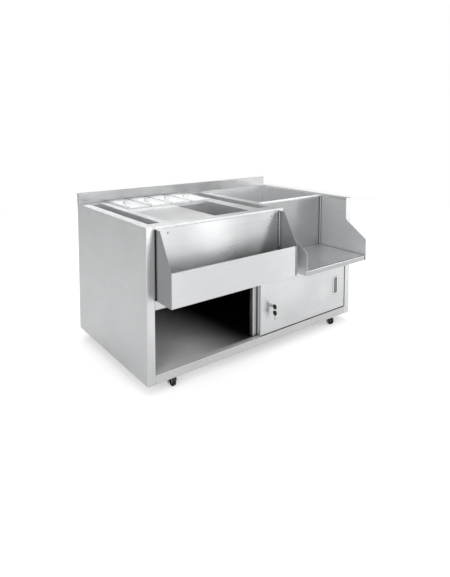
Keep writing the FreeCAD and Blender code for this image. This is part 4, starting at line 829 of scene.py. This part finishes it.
low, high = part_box("key_ring")
ring_place = [(a + b) / 2 for a, b in zip(low, high)]
ring_radius = (high[0] - low[0]) / 2 - RING_WIRE
for number, side in enumerate((-1, 1), 1):
    bpy.ops.object.select_all(action="DESELECT")
    bpy.ops.mesh.primitive_torus_add(
        major_radius=ring_radius, minor_radius=RING_WIRE * 0.52, major_segments=72, minor_segments=10,
        location=(ring_place[0], ring_place[1] + side * RING_WIRE * 0.47, ring_place[2]),
        rotation=(math.radians(90), 0, 0))
    coil = begin(f"split_ring_coil_{number}")
    finish_piece(coil, nickel)
    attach(coil, "spare_key_ring")
    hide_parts("key_ring")


# Casters: 50 mm wheels with a black rubber tyre on a grey hub, in pressed black-passivated forks that
# swivel on a ball race. A hexagon bolt and nut hold each axle.
TYRE_WIDTH = 0.02
TYRE_RADIUS = 0.025
TYRE_SHOULDER = 0.002
TYRE_ROUND = 0.0035
RIM_RADIUS = 0.0155
RIM_RECESS = 0.0042
RIM_FIT = RIM_RADIUS * 0.97
RIM_EDGE = 0.0016
RIM_PROUD = 0.0008
RIM_DISH = 0.82
HUB_RADIUS = 0.009
HUB_TAPER = 0.86
BOLT_ACROSS = 0.0068
BOLT_HEIGHT = 0.0035
BOLT_SUNK = 0.0015
BOLT_CHAMFER = 0.0009
BOLT_CROWN = 0.0006
tyre_rubber = moulded_black("black_caster_rubber", "#111112", 0.55, pimple_mm=0.9)
hub_steel = plated_steel("zinc_wheel_rim", "#E2E3E5", 0.34)
wear(plated_steel("zinc_fork_plate", "#B2B3B6", 0.36, grain_mm=3.0), "caster_plates",
     "caster_channels")
wear(plated_steel("black_passivated_fork", "#1C1D1F", 0.34, grain_mm=3.0),
     *[f"caster_fork_{side}_{end}" for side in ("left", "right") for end in ("front", "rear")])
low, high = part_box("caster_wheel_left_front")
axle = tuple((a + b) / 2 for a, b in zip(low, high))
cylinder_along_x(72, TYRE_RADIUS, TYRE_WIDTH, axle)
tyre = begin("tyre_left_front")
choose(tyre, "FACE", lambda f: abs(f.normal.x) > 0.9)
bpy.ops.mesh.inset(thickness=TYRE_SHOULDER)
bpy.ops.mesh.inset(thickness=TYRE_RADIUS - RIM_RADIUS - TYRE_SHOULDER)
resize((1 - 2 * RIM_RECESS / TYRE_WIDTH, 1, 1), axle)
choose(tyre, "EDGE", lambda e: all(abs(v.co.x - axle[0]) > TYRE_WIDTH * 0.49 for v in e.verts)
       and all((v.co - Vector(axle)).yz.length > TYRE_RADIUS * 0.99 for v in e.verts))
bpy.ops.mesh.bevel(offset=TYRE_ROUND, segments=5, affect="EDGES")
finish_piece(tyre, tyre_rubber, angle=35)

rim_half = TYRE_WIDTH / 2 - RIM_RECESS + RIM_PROUD
hub_half = (high[0] - low[0]) / 2
cylinder_along_x(48, RIM_FIT, 2 * rim_half, axle)
rim = begin("wheel_rim_left_front")
choose(rim, "FACE", lambda f: abs(f.normal.x) > 0.9)
bpy.ops.mesh.inset(thickness=RIM_EDGE)
resize((RIM_DISH, 1, 1), axle)
bpy.ops.mesh.inset(thickness=RIM_FIT - RIM_EDGE - HUB_RADIUS)
extrude(0, 0, 0)
resize((hub_half / rim_half / RIM_DISH, HUB_TAPER, HUB_TAPER), axle)
finish_piece(rim, hub_steel, bevel={"width": 0.0005, "segments": 2, "limit_method": "ANGLE"})

fork_low, fork_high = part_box("caster_fork_left_front")
bolts = []
for side, face in ((-1, fork_low[0]), (1, fork_high[0])):
    cylinder_along_x(6, BOLT_ACROSS, BOLT_HEIGHT,
                     (face - side * BOLT_SUNK + side * BOLT_HEIGHT / 2, *axle[1:]))
    bolt = begin(f"axle_bolt_left_front_{'inner' if side > 0 else 'outer'}")
    choose(bolt, "FACE", lambda f: f.normal.x * side > 0.9)
    bpy.ops.mesh.inset(thickness=BOLT_CHAMFER)
    bpy.ops.transform.translate(value=(side * BOLT_CROWN, 0, 0))
    finish_piece(bolt, zinc, angle=30, bevel={"width": 0.0003, "segments": 2, "limit_method": "ANGLE"})
    bolts.append(bolt)

for side in ("left", "right"):
    for end in ("front", "rear"):
        corner = f"{side}_{end}"
        offset = Vector(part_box(f"caster_wheel_{corner}")[0]) - Vector(low)
        here = corner == "left_front"
        for piece in (tyre, rim):
            part = piece if here else copy_of(piece, piece.name.replace("left_front", corner), offset)
            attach(part, f"wheel_{corner}")
            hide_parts(f"caster_wheel_{corner}")
        for piece in bolts:
            part = piece if here else copy_of(piece, piece.name.replace("left_front", corner), offset)
            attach(part, f"caster_{corner}")


# Wastes and strainer: pressed bright steel, almost polished. The strainer basket lifts out of the sink
# waste; the ice bin's waste has none.
waste_steel = plated_steel("bright_pressed_waste", "#D8D8D8", 0.22, grain_mm=2.0, shade=0.06)
wear(waste_steel, "ice_bin_drain", "sink_drain", "sink_strainer")


# Door gear: tracks and hangers of galvanised steel with its larger, cloudy patches, and the floor guide
# of black nylon.
wear(plated_steel("galvanised_track_steel", "#B4B6B9", 0.4, grain_mm=6.0), "door_tracks",
     "front_door_hangers", "rear_door_hangers")
wear(moulded_black("black_nylon_guide", "#141415", 0.5), "door_floor_guide")


# Foam round the ice bin: poured polyurethane, cream coloured, shut in by its jacket. Its cells are drawn
# a little under 2 mm wide.
CELLS_PER_METRE = 600.0
foam = bpy.data.materials.new("poured_polyurethane_foam")
foam.use_nodes = True
tree = foam.node_tree
tree.nodes.clear()
place = add_node(tree, "ShaderNodeTexCoord")
cells = add_node(tree, "ShaderNodeTexVoronoi", [(place, "Object", "Vector")], Scale=CELLS_PER_METRE)
pores = add_node(tree, "ShaderNodeBump", [(cells, 0, "Height")], Strength=0.6, Distance=0.0006)
tone = add_node(tree, "ShaderNodeValToRGB", [(cells, 0, 0)])
tone.color_ramp.elements[0].color = linear("#D8C79A")
tone.color_ramp.elements[1].color = linear("#F0E6C8")
body = add_node(tree, "ShaderNodeBsdfPrincipled", [(tone, 0, "Base Color"), (pores, 0, "Normal")],
                Roughness=0.9)
add_node(tree, "ShaderNodeOutputMaterial", [(body, 0, 0)])
wear(foam, "ice_bin_foam")
